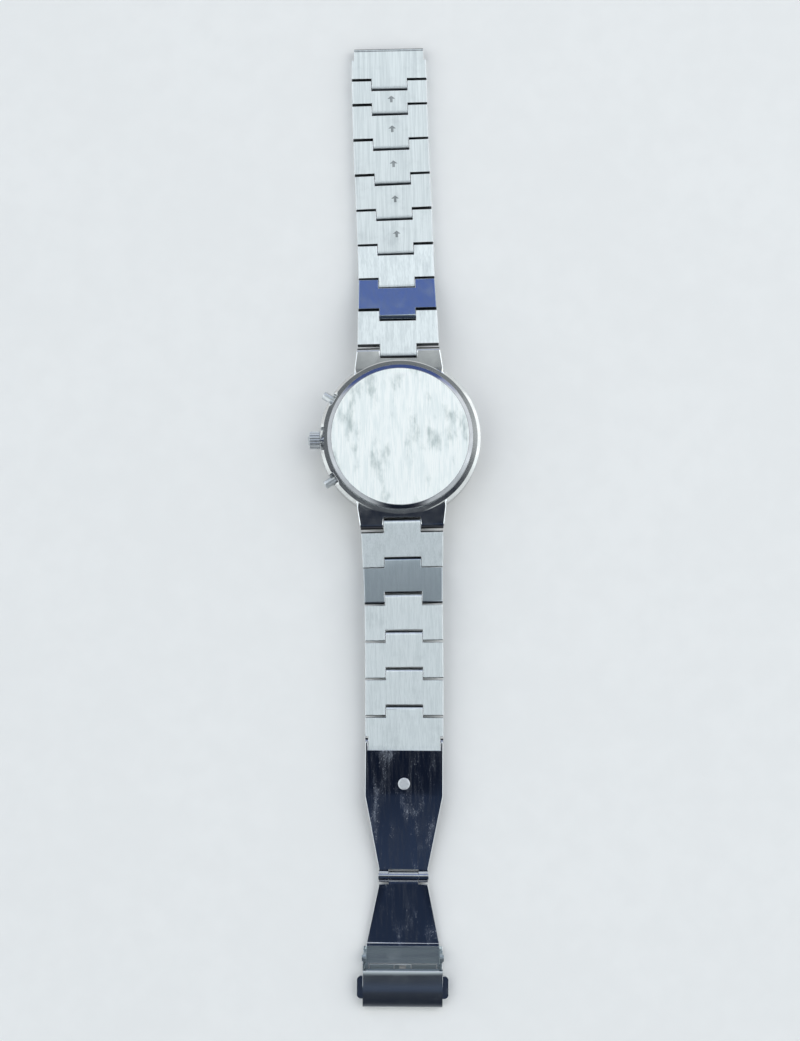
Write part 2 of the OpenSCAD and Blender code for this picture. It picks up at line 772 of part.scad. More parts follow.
module crown() color(steel)
    on_side(0)
        difference() {
            union() {
                translate([crown_at, 0, 0])
                    rotate([0, 90, 0])
                        linear_extrude(crown_l)
                            difference() {
                                circle(r = crown_d/2);
                                for (i = [0:crown_flutes - 1])
                                    rotate(360*i/crown_flutes)
                                        translate([crown_d/2 + flute_out, 0])
                                            circle(r = flute_r, $fn = 16);
                            }
                translate([crown_end, 0, 0])
                    rotate([0, 90, 0])
                        cylinder(r1 = crown_tip_r, r2 = crown_tip_r - crown_tip_taper, h = crown_tip_l);
            }
            rod(crown_hollow_r, crown_at - cut, crown_at + crown_hollow_l);
            rod(stem_r + pin_fit, 0, crown_end - stem_bore_short);
        }

module crown_stem() color(steel)
    on_side(0)
        difference() {
            rod(stem_r, stem_end, crown_end - stem_short);
            difference() {
                rod(stem_r + cut, lever_at - lever_t/2 - 0.05, lever_at + lever_t/2 + 0.05);
                rod(stem_groove_r, 0, case_r);
            }
        }

module setting_lever() color([0.75, 0.7, 0.55])
    on_side(0)
        translate([lever_at - lever_t/2, 0, 0])
            difference() {
                translate([0, -lever_w/2, movement_z - crown_z + 0.1])
                    cube([lever_t, lever_w, crown_z - movement_z + 0.1]);
                rod(stem_groove_r + run_fit, -cut, cut);
                translate([-cut, -stem_groove_r - run_fit, 0])
                    cube([2*cut + lever_t, 2*(stem_groove_r + run_fit), cut]);
            }

// Pusher with a domed cap, its base in the well in the case's edge
module pusher(side) color(steel)
    on_side(side) {
        translate([pusher_base, 0, 0])
            rotate([0, 90, 0])
                rotate_extrude()
                    polygon(concat([[0, 0], [pusher_r, 0]],
                        arc([pusher_r - 0.3, pusher_end - pusher_base - 0.3], 0.3, 0, 90),
                        [[0, pusher_end - pusher_base]]));
        rod(pusher_stem_r, pusher_stem_end, pusher_base + 0.1);
    }

module start_pusher() pusher(-1);

module reset_pusher() pusher(1);

module pusher_springs() color([0.6, 0.6, 0.62])
    for (side = [-1, 1])
        on_side(side)
            difference() {
                rod(pusher_stem_r + run_fit + spring_w, pusher_well_at + seat_clear, pusher_base - seat_clear);
                rod(pusher_stem_r + run_fit, 0, case_r);
            }

// Link i of the strand towards twelve o'clock, counted from the case
module upper_link(i) color(steel)
    on_upper(i)
        if (i == upper_n - 1)
            end_link(end_p, end_w, end_neck_w, end_neck_l, bar_r + run_fit);
        else
            notched_link(upper_p[i], upper_w[i], upper_w[i + 1],
                i == 0 ? first_shoulder : shoulder, i == 0 ? bar_r + run_fit : pin_r + run_fit,
                len([for (k = arrow_links) if (k == i) k]) > 0);

module upper_pin(i) color([0.65, 0.66, 0.68])
    on_upper(i)
        link_pin(upper_p[i], upper_w[i + 1]);

// Link i of the strand towards six o'clock, counted from the case
module lower_link(i) color(steel)
    on_lower(i)
        if (i == lower_n - 1)
            end_link(clasp_link_p, link_w, clasp_neck_w, clasp_neck_l, pin_r + run_fit);
        else
            notched_link(lower_p[i], upper_w[i], upper_w[i + 1],
                i == 0 ? first_shoulder : shoulder, i == 0 ? bar_r + run_fit : pin_r + run_fit);

module lower_pin(i) color([0.65, 0.66, 0.68])
    if (i == lower_n - 1)
        on_inner_blade()
            link_pin(0, blade_w);
    else
        on_lower(i)
            link_pin(lower_p[i], upper_w[i + 1]);

// Plan of the inner blade, from the channel to its straight edge at the hinge
module inner_plan()
    polygon([[-blade_w/2, link_r + link_gap], [blade_w/2, link_r + link_gap],
        [blade_w/2, blade_l - channel_at], [hinge_w/2, blade_l - blade_edge],
        [-hinge_w/2, blade_l - blade_edge], [-blade_w/2, blade_l - channel_at]]);

module clasp_inner_blade() color([0.6, 0.62, 0.66])
    on_inner_blade() {
        bend = blade_l - channel_at;
        low = blade_gap - hinge_drop;
        difference() {
            union() {
                intersection() {
                    translate([0, 0, -cut])
                        linear_extrude(3*cut + link_r)
                            inner_plan();
                    slab([[0, link_r], [0, link_r - blade_t], [bend, link_r - blade_t],
                        [blade_l - blade_edge, low], [blade_l, low], [blade_l, low + blade_t],
                        [blade_l - blade_edge, low + blade_t], [bend, link_r]], blade_w + cut);
                }
                for (side = [-1, 1])
                    translate([side*(blade_w - blade_wall)/2, 0, 0])
                        slab(concat(arc([0, 0], link_r, 90, 250, 8), [[wall_from, wall_low],
                            [bend - wall_run_in, wall_low], [bend + wall_run_out, link_r - blade_t],
                            [bend, link_r]]),
                            blade_wall);
                for (side = [-1, 1])
                    translate([side*(knuckle_x + hinge_w/2)/2, blade_l, -hinge_drop])
                        knuckle(hinge_w/2 - knuckle_x, -1);
            }
            rod(pin_r + pin_fit, -blade_w, blade_w);
            translate([0, blade_l, -hinge_drop])
                rod(hinge_pin_r + run_fit, -blade_w, blade_w);
            translate([0, blade_l - stud_at, -cut])
                cylinder(r = stud_neck_r + pin_fit, h = 2*cut + link_r);
        }
    }

// Knuckle of width w round the clasp's hinge, with an arm to the blade on the side dir
module knuckle(w, dir)
    difference() {
        union() {
            rod(knuckle_r, -w/2, w/2);
            translate([-w/2, dir > 0 ? 0 : -blade_edge - 0.3, blade_gap])
                cube([w, blade_edge + 0.3, blade_t]);
        }
        rod(hinge_pin_r + pin_fit, -w, w);
    }

module clasp_stud() color([0.85, 0.86, 0.88])
    on_inner_blade() {
        low = stud_foot - clasp_pin_z;
        translate([0, blade_l - stud_at, 0])
            rotate_extrude()
                polygon(concat([[0, low], [stud_r - stud_edge, low], [stud_r, low + stud_edge],
                    [stud_r, low + stud_head_h], [stud_neck_r, low + stud_head_h],
                    [stud_neck_r, link_r], [rivet_r, link_r]],
                    arc([rivet_r - rivet_dome, link_r], rivet_dome, 0, 90), [[0, link_r + rivet_dome]]));
    }

module clasp_outer_blade() color([0.55, 0.58, 0.62])
    on_outer_blade()
        difference() {
            union() {
                translate([0, 0, blade_gap])
                    linear_extrude(blade_t)
                        difference() {
                            polygon([[-hinge_w/2, blade_edge], [hinge_w/2, blade_edge],
                                [outer_w/2, pocket_at], [cover_w/2, pocket_at], [cover_w/2, cover_at + cover_l],
                                [-cover_w/2, cover_at + cover_l], [-cover_w/2, pocket_at],
                                [-outer_w/2, pocket_at]]);
                            translate([-cover_w/2 + strip_w, stud_at - stud_r - window_before])
                                square([cover_w - 2*strip_w, cover_at + cover_l]);
                        }
                for (side = [-1, 1]) {
                    translate([side*(ear_in + ear_t/2), 0, 0])
                        slab(concat([[ear_at - ear_foot, blade_gap], [ear_at + ear_foot, blade_gap]],
                            arc([ear_at, ear_z], link_r, 0, 180, 8)), ear_t);
                    translate([side*(ear_in + ear_t), ear_at, ear_z])
                        rod(knob_r, side < 0 ? -knob_out : -0.1, side < 0 ? 0.1 : knob_out);
                }
                knuckle(knuckle_w, 1);
                translate([-outer_w/2 + ridge_in, pocket_at - ridge_w, blade_gap])
                    cube([outer_w - 2*ridge_in, ridge_w, blade_t + ridge_rise]);
            }
            translate([0, ear_at, ear_z])
                rod(bar_tip_r + pin_fit, -cover_w, cover_w);
        }

module clasp_hinge_pin() color([0.85, 0.86, 0.88])
    on_outer_blade()
        rod(hinge_pin_r, -hinge_w/2 - pin_proud, hinge_w/2 + pin_proud);

module clasp_cover() color([0.5, 0.53, 0.56])
    on_outer_blade()
        difference() {
            slab(cover_outline(0), cover_w);
            slab(cover_outline(cover_wall), cover_w - 2*cover_wall);
            translate([-cover_w/2 + cover_wall, cover_at - cut, 0])
                cube([cover_w - 2*cover_wall, 2*cut, stud_way_h]);
            for (side = [-1, 1])
                translate([side*cover_w/2 - cut, button_y - button_l/2 - 0.05, button_z - button_h/2 - 0.05])
                    cube([2*cut, button_l + 0.1, button_h + 0.1]);
        }

// Side view of the cover: a front chamfer, a level top and a long fall to the end
function cover_outline(wall) = let (low = wall > 0 ? -cut : cover_low, top = cover_top - wall)
    concat([[cover_at + wall, low], [cover_at + wall, cover_top - cover_front_h - wall/2],
        [cover_at + cover_chamfer + wall*0.8, top - cover_chamfer], [cover_at + cover_top_from, top]],
        arc([cover_at + cover_level, cover_top - cover_fall_r], cover_fall_r - wall, 90, cover_fall_to, 7),
        [[cover_at + cover_l - wall, cover_low + cover_end_h], [cover_at + cover_l - wall, low]]);

// Release button on the side dir, with the catch arm that reaches past the stud
module release_button(dir) color([0.45, 0.47, 0.5])
    on_outer_blade() {
        low = arm_low + (dir > 0 ? arm_t + 0.05 : 0);
        arm_y = stud_at - stud_r - catch_arm_side;
        to_side(dir) {
            translate([arm_x - post_w, button_y - button_l/2, button_z - button_h/2])
                cube([cover_w/2 - arm_x + post_w + 0.1, button_l, button_h]);
            translate([cover_w/2, button_y, button_z - button_h/2])
                linear_extrude(button_h)
                    polygon(concat([[0, -button_l/2]],
                        arc([button_out - button_round, -button_l/2 + button_round], button_round, -90, 0),
                        arc([button_out - button_round, button_l/2 - button_round], button_round, 0, 90),
                        [[0, button_l/2]]));
            difference() {
                translate([-catch_arm_past, arm_y, low])
                    cube([arm_x + catch_arm_past, 2*(stud_r + catch_arm_side), arm_t]);
                translate([-stud_neck_r - 0.1, stud_at - stud_r - 0.1, low - cut])
                    cube([stud_neck_r + stud_r + button_travel + 0.2, 2*stud_r + 0.2, 2*cut]);
            }
            translate([arm_x - post_w, arm_y, low])
                cube([post_w, button_y + button_l/2 - arm_y, arm_t]);
            translate([arm_x - post_w, button_y - button_l/2, low])
                cube([post_w, button_l, button_z - low]);
        }
    }

// Mirrors children to the -X side when dir is -1
module to_side(dir)
    mirror([dir < 0 ? 1 : 0, 0, 0])
        children();

module left_release_button() release_button(1);

module right_release_button() release_button(-1);

case_middle();
case_back();
case_gaskets();
crystal();
dial();
dial_ring();
hour_markers();
movement();
movement_holder();
battery();
case_tubes();
lug_spring_bars();
hour_hand();
minute_hand();
chrono_seconds_hand();
small_seconds_hand();
minute_counter_hand();
day_counter_hand();
crown();
crown_stem();
setting_lever();
start_pusher();
reset_pusher();
pusher_springs();
for (i = [0:upper_n - 1])
    upper_link(i);
for (i = [0:upper_n - 2])
    upper_pin(i);
for (i = [0:lower_n - 1])
    lower_link(i);
for (i = [0:lower_n - 1])
    lower_pin(i);
clasp_inner_blade();
clasp_stud();
clasp_outer_blade();
clasp_hinge_pin();
clasp_cover();
left_release_button();
right_release_button();
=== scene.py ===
"""Looks of a steel chronograph that lies on its crystal with its bracelet and clasp laid open."""

import json
import logging
import math
from dataclasses import dataclass, field
from enum import Enum

import bmesh
import bpy
from mathutils import Euler, Matrix, Vector


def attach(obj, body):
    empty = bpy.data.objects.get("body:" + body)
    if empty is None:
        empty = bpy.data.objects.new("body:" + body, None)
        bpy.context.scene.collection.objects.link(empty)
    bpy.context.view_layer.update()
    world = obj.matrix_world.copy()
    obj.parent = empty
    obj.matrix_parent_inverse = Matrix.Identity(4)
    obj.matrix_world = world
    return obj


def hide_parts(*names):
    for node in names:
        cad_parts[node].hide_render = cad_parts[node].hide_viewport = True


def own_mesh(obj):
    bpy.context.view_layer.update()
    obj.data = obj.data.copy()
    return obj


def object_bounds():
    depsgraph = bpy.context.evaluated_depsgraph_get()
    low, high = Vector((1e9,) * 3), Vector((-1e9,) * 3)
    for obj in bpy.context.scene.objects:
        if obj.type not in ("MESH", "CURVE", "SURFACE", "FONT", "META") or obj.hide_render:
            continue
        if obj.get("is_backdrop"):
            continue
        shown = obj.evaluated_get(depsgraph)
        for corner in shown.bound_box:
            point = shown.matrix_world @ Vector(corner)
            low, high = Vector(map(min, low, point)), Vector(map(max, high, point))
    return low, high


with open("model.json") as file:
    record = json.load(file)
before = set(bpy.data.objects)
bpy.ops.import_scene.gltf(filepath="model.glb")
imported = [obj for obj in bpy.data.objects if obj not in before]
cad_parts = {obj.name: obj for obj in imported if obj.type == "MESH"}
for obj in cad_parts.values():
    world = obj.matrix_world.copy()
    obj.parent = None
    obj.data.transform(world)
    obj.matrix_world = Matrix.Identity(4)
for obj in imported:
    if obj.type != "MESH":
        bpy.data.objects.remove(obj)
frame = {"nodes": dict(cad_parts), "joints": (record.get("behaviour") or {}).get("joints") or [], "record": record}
CAD_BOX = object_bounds()

LOG = logging.getLogger("wristwatch")
MM = 0.001
Socket, Material, Piece = bpy.types.NodeSocket, bpy.types.Material, bpy.types.Object
Mesh, Face, Edge = bmesh.types.BMesh, bmesh.types.BMFace, bmesh.types.BMEdge
Span = tuple[float, float]
Triple = tuple[float, float, float]
Colour = Triple

# Names of the painted values and their colours: rubbing and painted highlight on eased edges, painted shade and
# dirt in hollows
WEAR_AND_SHEEN, SHADE_AND_GRIME = "wear_and_sheen", "grime"
WORN_EDGE_AND_SHEEN: Colour = (0.90, 0.92, 0.94)
SHADE_AND_DIRT: Colour = (0.030, 0.034, 0.045)

# Parts of a noise's range that each kind of mark takes
LINES: Span = (0.3, 0.7)
SMUDGE: Span = (0.5, 0.74)
SCUFF: Span = (0.56, 0.68)
SCUFFED: Span = (0.36, 0.64)
SCRATCH: Span = (0.70, 0.76)
WIPE: Span = (0.45, 0.8)

# Parts of a tone's range that go from the dark to the light colour and from the rough to the smooth gloss
TONE: Span = (0.15, 0.85)
COAT_TONE: Span = (0.12, 0.42)
GLOSS: Span = (0.2, 0.8)

# How far smudges roughen, rubbing and painted highlight brighten, and painted shade and dirt darken and roughen
SMUDGE_ROUGH, WEAR_AND_SHEEN_SHARE, SHADE_AND_GRIME_SHARE, SHADE_AND_GRIME_ROUGH = 0.4, 0.8, 0.9, 0.3

# How many times wider and longer the broad lines of a finish are than its fine ones
WIDER, LONGER = 5, 2.2

# Distances under which corners are joined, and under which they count as lying on a cutting plane
WELD, ON_PLANE = 0.002 * MM, 1e-7

# Pin between the last link and the clasp
CLASP_PIN_Y = -71.63

# Finishes of the case's pieces that keep their own mesh
CASE_FINISHES = {
    "case_gaskets": "gasket_black", "crystal": "crystal_glass", "dial": "dial_blue", "dial_ring": "ring_silver",
    "hour_markers": "marker_bright", "movement": "movement_gilt", "movement_holder": "holder_white",
    "battery": "cell_steel", "case_tubes": "pin_steel", "lug_spring_bars": "pin_steel",
    "setting_lever": "movement_gilt", "crown_stem": "pin_steel", "hour_hand": "hand_bright",
    "minute_hand": "hand_bright", "chrono_seconds_hand": "hand_red", "small_seconds_hand": "hand_bright",
    "minute_counter_hand": "hand_bright", "day_counter_hand": "hand_bright",
}

# Side that each small dial lies on, its numerals clockwise from twelve, and how many marks it has
SMALL_DIALS = (
    ((-1, 0), ("24", "6", "12", "18"), 24),
    ((1, 0), ("60", "15", "30", "45"), 12),
    ((0, -1), ("60", "15", "30", "45"), 12),
)


class Grain(Enum):
    """Way that the fine lines of a finish run."""

    NONE = "none"
    ALONG = "along the bracelet"
    ACROSS = "across the bracelet"
    TURNED = "round the case's axis"


class Graph:
    """Node tree of a material or of the room, with methods for the nodes that are often used."""

    def __init__(self, tree: bpy.types.NodeTree, coordinates: str) -> None:
        """Starts an empty tree.

        Args:
            tree: the tree
            coordinates: name of the coordinates that it reads
        """
        self.tree = tree
        self.tree.nodes.clear()
        self.place = self.node("TexCoord", {}).outputs[coordinates]

    def feed(self, socket: Socket, value: Socket | float | tuple | list) -> None:
        """Links a socket to another one, or sets its constant."""
        if isinstance(value, Socket):
            self.tree.links.new(value, socket)
        else:
            socket.default_value = value

    def node(self, kind: str, inputs: dict, **settings: str) -> bpy.types.Node:
        """Adds a node.

        Args:
            kind: its kind, the last part of its type's name
            inputs: sockets or constants for its inputs, by name or number
            settings: its own settings

        Returns:
            the node
        """
        node = self.tree.nodes.new(f"ShaderNode{kind}")
        for key, setting in settings.items():
            setattr(node, key, setting)
        for key, value in inputs.items():
            self.feed(node.inputs[key], value)
        return node

    def mapping(self, size: Triple, turn: Triple = (0, 0, 0), shift: Triple = (0, 0, 0)) -> Socket:
        """The tree's coordinates, scaled to the size of a pattern, turned and shifted.

        Args:
            size: size of the pattern on x, y and z, in millimetres
            turn: turn about x, y and z, in degrees
            shift: shift before the scale, in metres

        Returns:
            the vector's socket
        """
        scale = [1 / (part * MM) for part in size]
        inputs = {"Vector": self.place, "Scale": scale, "Rotation": [math.radians(angle) for angle in turn],
                  "Location": [part * factor for part, factor in zip(shift, scale)]}
        return self.node("Mapping", inputs, vector_type="POINT").outputs["Vector"]

    def noise(self, vector: Socket, scale: float = 1.0, detail: float = 2.0, rough: float = 0.5) -> Socket:
        """Fractal noise.

        Args:
            vector: where it is read
            scale: its frequency
            detail: its octaves
            rough: how much the higher octaves count

        Returns:
            the noise's value, 0 to 1
        """
        inputs = {"Vector": vector, "Scale": scale, "Detail": detail, "Roughness": rough}
        return self.node("TexNoise", inputs).outputs["Fac"]

    def fit(self, value: Socket, low: float, high: float, to_low: float = 0.0, to_high: float = 1.0) -> Socket:
        """Maps a range of values smoothly onto another.

        Args:
            value: the value
            low: start of its range
            high: end of its range
            to_low: result at the start
            to_high: result at the end

        Returns:
            the mapped value
        """
        inputs = {"Value": value, "From Min": low, "From Max": high, "To Min": to_low, "To Max": to_high}
        return self.node("MapRange", inputs, interpolation_type="SMOOTHSTEP").outputs["Result"]

    def combine(self, first: Socket, second: Socket, operation: str = "ADD") -> Socket:
        """Joins two values by a sum or another operation.

        Args:
            first: first value
            second: second value
            operation: name of the operation

        Returns:
            the result
        """
        return self.node("Math", {0: first, 1: second}, operation=operation).outputs[0]

    def band(self, value: Socket, rise: Span, fall: Span) -> Socket:
        """A band that rises from 0 to 1 over one range of a value and falls back over another."""
        return self.combine(self.fit(value, *rise), self.fit(value, *fall, 1.0, 0.0), "MULTIPLY")

    def on_x(self, value: Socket) -> Socket:
        """A vector with the value on x, for noise that changes with this value alone."""
        return self.node("CombineXYZ", {0: value}).outputs[0]

    def painted(self, name: str) -> Socket:
        """The value that is painted on the piece's faces under a name, 0 where there is none."""
        return self.node("Attribute", {}, attribute_name=name).outputs["Fac"]

    def blend(self, share: Socket, first: Colour | Socket, second: Colour | Socket) -> Socket:
        """Blends two colours.

        Args:
            share: share of the second colour
            first: colour at 0
            second: colour at 1

        Returns:
            the blended colour
        """
        ends = [(*end, 1.0) if isinstance(end, tuple) else end for end in (first, second)]
        return self.node("Mix", {0: share, 6: ends[0], 7: ends[1]}, data_type="RGBA").outputs[2]

    def bump(self, height: Socket, depth: float, under: Socket | None = None) -> Socket:
        """Bends the normal by a height.

        Args:
            height: the height, 0 to 1
            depth: how deep 1 is, in metres
            under: normal that it is laid on

        Returns:
            the bent normal
        """
        inputs = {"Height": height, "Distance": depth, "Strength": 1.0}
        if under is not None:
            inputs["Normal"] = under
        return self.node("Bump", inputs).outputs["Normal"]

    def axis(self, direction: Triple) -> Socket:
        """A fixed direction of the object, for the spread of brushed metal's gloss.

        Args:
            direction: the direction in the object's frame

        Returns:
            the direction in the scene's frame
        """
        settings = {"vector_type": "VECTOR", "convert_from": "OBJECT", "convert_to": "WORLD"}
        return self.node("VectorTransform", {0: direction}, **settings).outputs[0]


class Surface(Graph):
    """Node tree of one material."""

    def __init__(self, name: str) -> None:
        """Starts an empty material.

        Args:
            name: name of the material
        """
        self.material = bpy.data.materials.new(name)
        self.material.use_nodes = True
        super().__init__(self.material.node_tree, "Object")
        self.shader = self.node("BsdfPrincipled", {})
        self.node("OutputMaterial", {"Surface": self.shader.outputs[0]})

    def set(self, **values: Socket | float) -> None:
        """Links or sets the shader's own inputs, whose names have underscores for blanks."""
        for key, value in values.items():
            self.feed(self.shader.inputs[key.replace("_", " ")], value)


@dataclass(frozen=True)
class Steel:
    """Steel, brushed or polished, with its fine lines, smudges and small scratches."""

    name: str
    light: Colour
    dark: Colour
    rough: float
    rough_spread: float = 0.06
    grain: Grain = Grain.ALONG
    grain_pitch: float = 0.16
    grain_depth: float = 0.0
    grain_length: float = 9.0
    spread: float = 0.0
    smudge: float = 0.25
    smudge_size: float = 5.0
    smudge_length: float = 1.0
    smudge_colour: Colour = (0.30, 0.34, 0.36)
    scratch: float = 0.0
    scuffs: float = 0.0
    centre: Triple = (0.0, 0.0, 0.0)

    # Size of the soft patches on polished steel, and how their noise is turned
    patch_size: float = 2.2
    patch_turn: Triple = (20, 35, 50)

    # Width and length of a scuff
    scuff_size: Span = (0.35, 0.7)

    # Turn about z and distance of the small scratches, and their length and depth along z
    scratch_at: tuple[Span, ...] = ((24, 0.35), (-38, 0.45))
    scratch_size: Span = (14.0, 3.0)

    def lines(self, graph: Surface, pitch: float, length: float) -> Socket:
        """Long fine lines of the finish.

        Args:
            graph: the material's graph
            pitch: distance between lines, in millimetres
            length: length of a line, in millimetres

        Returns:
            their value, 0 to 1
        """
        sizes = {Grain.ACROSS: (length, pitch, pitch), Grain.ALONG: (pitch, length, pitch)}
        size = sizes.get(self.grain, (pitch,) * 3)
        if self.grain is Grain.TURNED:
            spot = graph.mapping(size, shift=tuple(-part for part in self.centre))
            radius = graph.node("VectorMath", {0: spot}, operation="LENGTH").outputs["Value"]
            return graph.noise(graph.on_x(radius), detail=3.0, rough=0.6)
        return graph.noise(graph.mapping(size), detail=3.0, rough=0.6)

    def tone(self, graph: Surface) -> Socket:
        """Changes of tone, 0 to 1: long lines on brushed steel, soft patches on polished steel."""
        if self.grain is Grain.NONE:
            return graph.noise(graph.mapping((self.patch_size,) * 3, self.patch_turn), detail=3.0)
        fine = self.lines(graph, self.grain_pitch, self.grain_length)
        broad = self.lines(graph, self.grain_pitch * WIDER, self.grain_length * LONGER)
        return graph.combine(graph.fit(fine, *LINES, 0.0, 0.5), graph.fit(broad, *LINES, 0.0, 0.5))

    def dull(self, graph: Surface, cloud: Socket) -> Socket:
        """Roughness that smudges and scuffs add.

        Args:
            graph: the material's graph
            cloud: noise that the smudges follow

        Returns:
            the added roughness
        """
        dull = graph.fit(cloud, *SMUDGE, 0.0, SMUDGE_ROUGH * self.smudge)
        if not self.scuffs:
            return dull
        wide, long = self.scuff_size
        spots = graph.noise(graph.mapping((wide, long, long)), detail=6.0, rough=0.7)
        marks = graph.fit(spots, *SCUFF, 0.0, self.scuffs)
        return graph.combine(dull, graph.combine(marks, graph.fit(cloud, *SCUFFED, 0.1), "MULTIPLY"))

    def relief(self, graph: Surface, tone: Socket) -> Socket | None:
        """Normal bent by the finish's lines and by small scratches.

        Args:
            graph: the material's graph
            tone: height of the lines

        Returns:
            the bent normal, or None where the steel is smooth
        """
        normal = graph.bump(tone, self.grain_depth * MM) if self.grain_depth else None
        for turn, pitch in self.scratch_at if self.scratch else ():
            spots = graph.noise(graph.mapping((pitch, *self.scratch_size), (0, 0, turn)), detail=1.0, rough=0.4)
            normal = graph.bump(graph.fit(spots, *SCRATCH), self.scratch * MM, normal)
        return normal

    def build(self) -> Material:
        """Makes the material.

        Returns:
            the material
        """
        graph = Surface(self.name)
        graph.set(Metallic=1.0)
        long = self.smudge_size * self.smudge_length
        cloud = graph.noise(graph.mapping((self.smudge_size, long, self.smudge_size)), detail=4.0, rough=0.6)
        tone, grime = self.tone(graph), graph.painted(SHADE_AND_GRIME)
        body = graph.blend(graph.fit(tone, *TONE), self.dark, self.light)
        body = graph.blend(graph.fit(cloud, *SMUDGE, 0.0, self.smudge), body, self.smudge_colour)
        # Eased edges are brightened by rubbing and painted highlight, gaps and hollows darkened by painted shade
        # and dirt
        body = graph.blend(graph.fit(graph.painted(WEAR_AND_SHEEN), 0.0, 1.0, 0.0, WEAR_AND_SHEEN_SHARE), body, WORN_EDGE_AND_SHEEN)
        body = graph.blend(graph.fit(grime, 0.0, 1.0, 0.0, SHADE_AND_GRIME_SHARE), body, SHADE_AND_DIRT)
        gloss = graph.fit(tone, *GLOSS, self.rough + self.rough_spread, self.rough - self.rough_spread)
        gloss = graph.combine(gloss, self.dull(graph, cloud))
        gloss = graph.combine(gloss, graph.fit(grime, 0.0, 1.0, 0.0, SHADE_AND_GRIME_ROUGH))
        graph.set(Base_Color=body, Roughness=gloss)
        normal = self.relief(graph, tone)
        if normal is not None:
            graph.set(Normal=normal)
        if self.spread:
            direction = (0.0, 1.0, 0.0) if self.grain is Grain.ACROSS else (1.0, 0.0, 0.0)
            graph.set(Anisotropic=self.spread, Tangent=graph.axis(direction))
        return graph.material


@dataclass(frozen=True)
class Coat:
    """Painted, moulded or printed surface with a fine grain and a slight change of colour."""

    name: str
    light: Colour
    dark: Colour
    rough: float
    metallic: float = 0.0
    grain_size: float = 0.25
    depth: float = 0.01
    rays: bool = False
    ray_count: float = 260.0
    rough_spread: float = 0.06
    cloud_size: float = 6.0

    def build(self) -> Material:
        """Makes the material.

        Returns:
            the material
        """
        graph = Surface(self.name)
        graph.set(Metallic=self.metallic)
        grain = graph.noise(graph.mapping((self.grain_size,) * 3), detail=3.0, rough=0.55)
        cloud = graph.noise(graph.mapping((self.cloud_size,) * 3))
        fine = grain
        if self.rays:
            turn = graph.node("TexGradient", {0: graph.place}, gradient_type="RADIAL").outputs["Fac"]
            fine = graph.noise(graph.on_x(turn), self.ray_count, rough=0.6)
        tone = graph.fit(graph.combine(fine, cloud, "MULTIPLY"), *COAT_TONE)
        gloss = graph.fit(grain, *LINES, self.rough + self.rough_spread, self.rough - self.rough_spread)
        graph.set(Base_Color=graph.blend(tone, self.dark, self.light), Roughness=gloss,
                  Normal=graph.bump(grain, self.depth * MM))
        return graph.material


@dataclass(frozen=True)
class Glass:
    """Clear crystal with faint wiping marks."""

    name: str
    tint: Colour = (0.96, 0.985, 1.0)
    index: float = 1.52
    wipe_size: Span = (6.0, 1.5)
    wipe_turn: float = 30.0
    wipe_rough: float = 0.06

    def build(self) -> Material:
        """Makes the material.

        Returns:
            the material
        """
        graph = Surface(self.name)
        graph.set(Transmission_Weight=1.0, IOR=self.index)
        long, wide = self.wipe_size
        wipe = graph.noise(graph.mapping((long, wide, long), (0, 0, self.wipe_turn)), detail=3.0)
        graph.set(Roughness=graph.fit(wipe, *WIPE, 0.0, self.wipe_rough))
        graph.set(Base_Color=graph.blend(wipe, self.tint, (1.0, 1.0, 1.0)))
        return graph.material


def register(piece: Piece, body: str, slot: str, *nodes: str) -> None:
    """Hangs a finished piece on its body's empty and hides the CAD nodes that it stands for.

    Args:
        piece: the piece
        body: body that it rides on
        slot: not used
        nodes: CAD nodes that it stands for
    """
    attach(piece, body)
    if nodes:
        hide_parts(*nodes)
    LOG.info("%s rides on %s", piece.name, body)


def as_object(name: str, bm: Mesh, finish: Material, sharp: float = 32.0, bend: float = 32.0) -> Piece:
    """Makes an object of a finished mesh, smooth except at its sharp edges.

    Args:
        name: name of the piece
        bm: its mesh, in metres and in place
        finish: its material
        sharp: angle in degrees past which an edge stays sharp
        bend: the same beside faces that are brightened by rubbing and painted highlight

    Returns:
        the object
    """
    wear_and_sheen = bm.faces.layers.float.get(WEAR_AND_SHEEN)
    for edge in bm.edges:
        retoned = wear_and_sheen and any(face[wear_and_sheen] for face in edge.link_faces)
        edge.smooth = edge.calc_face_angle(0.0) < math.radians(bend if retoned else sharp)
    for face in bm.faces:
        face.smooth = True
    mesh = bpy.data.meshes.new(name)
    bm.to_mesh(mesh)
    bm.free()
    mesh.materials.append(finish)
    piece = bpy.data.objects.new(name, mesh)
    bpy.context.scene.collection.objects.link(piece)
    return piece


def ease(bm: Mesh, edges: list[Edge], width: float, steps: int) -> list[Face]:
    """Eases edges by a width in millimetres, in some steps, and gives the new faces."""
    made = bmesh.ops.bevel(bm, geom=edges, offset=width * MM, offset_type="OFFSET", segments=steps, profile=0.5,
                           affect="EDGES", clamp_overlap=False, material=-1)
    return made["faces"]


def ramp(value: float, low: float, high: float) -> float:
    """How far a value lies on the way from low to high, 0 to 1."""
    return min(1.0, max(0.0, (value - low) / (high - low)))


def body_of(node: str) -> str:
    """Name of the body that a CAD node is part of."""
    return next(body for body, nodes in frame["record"]["behaviour"]["bodies"].items() if node in nodes)


def slot_of(node: str) -> str:
    """Name of the material slot of a CAD node."""
    return next(part["material_slot"] for part in frame["record"]["subparts"] if part["node"] == node)


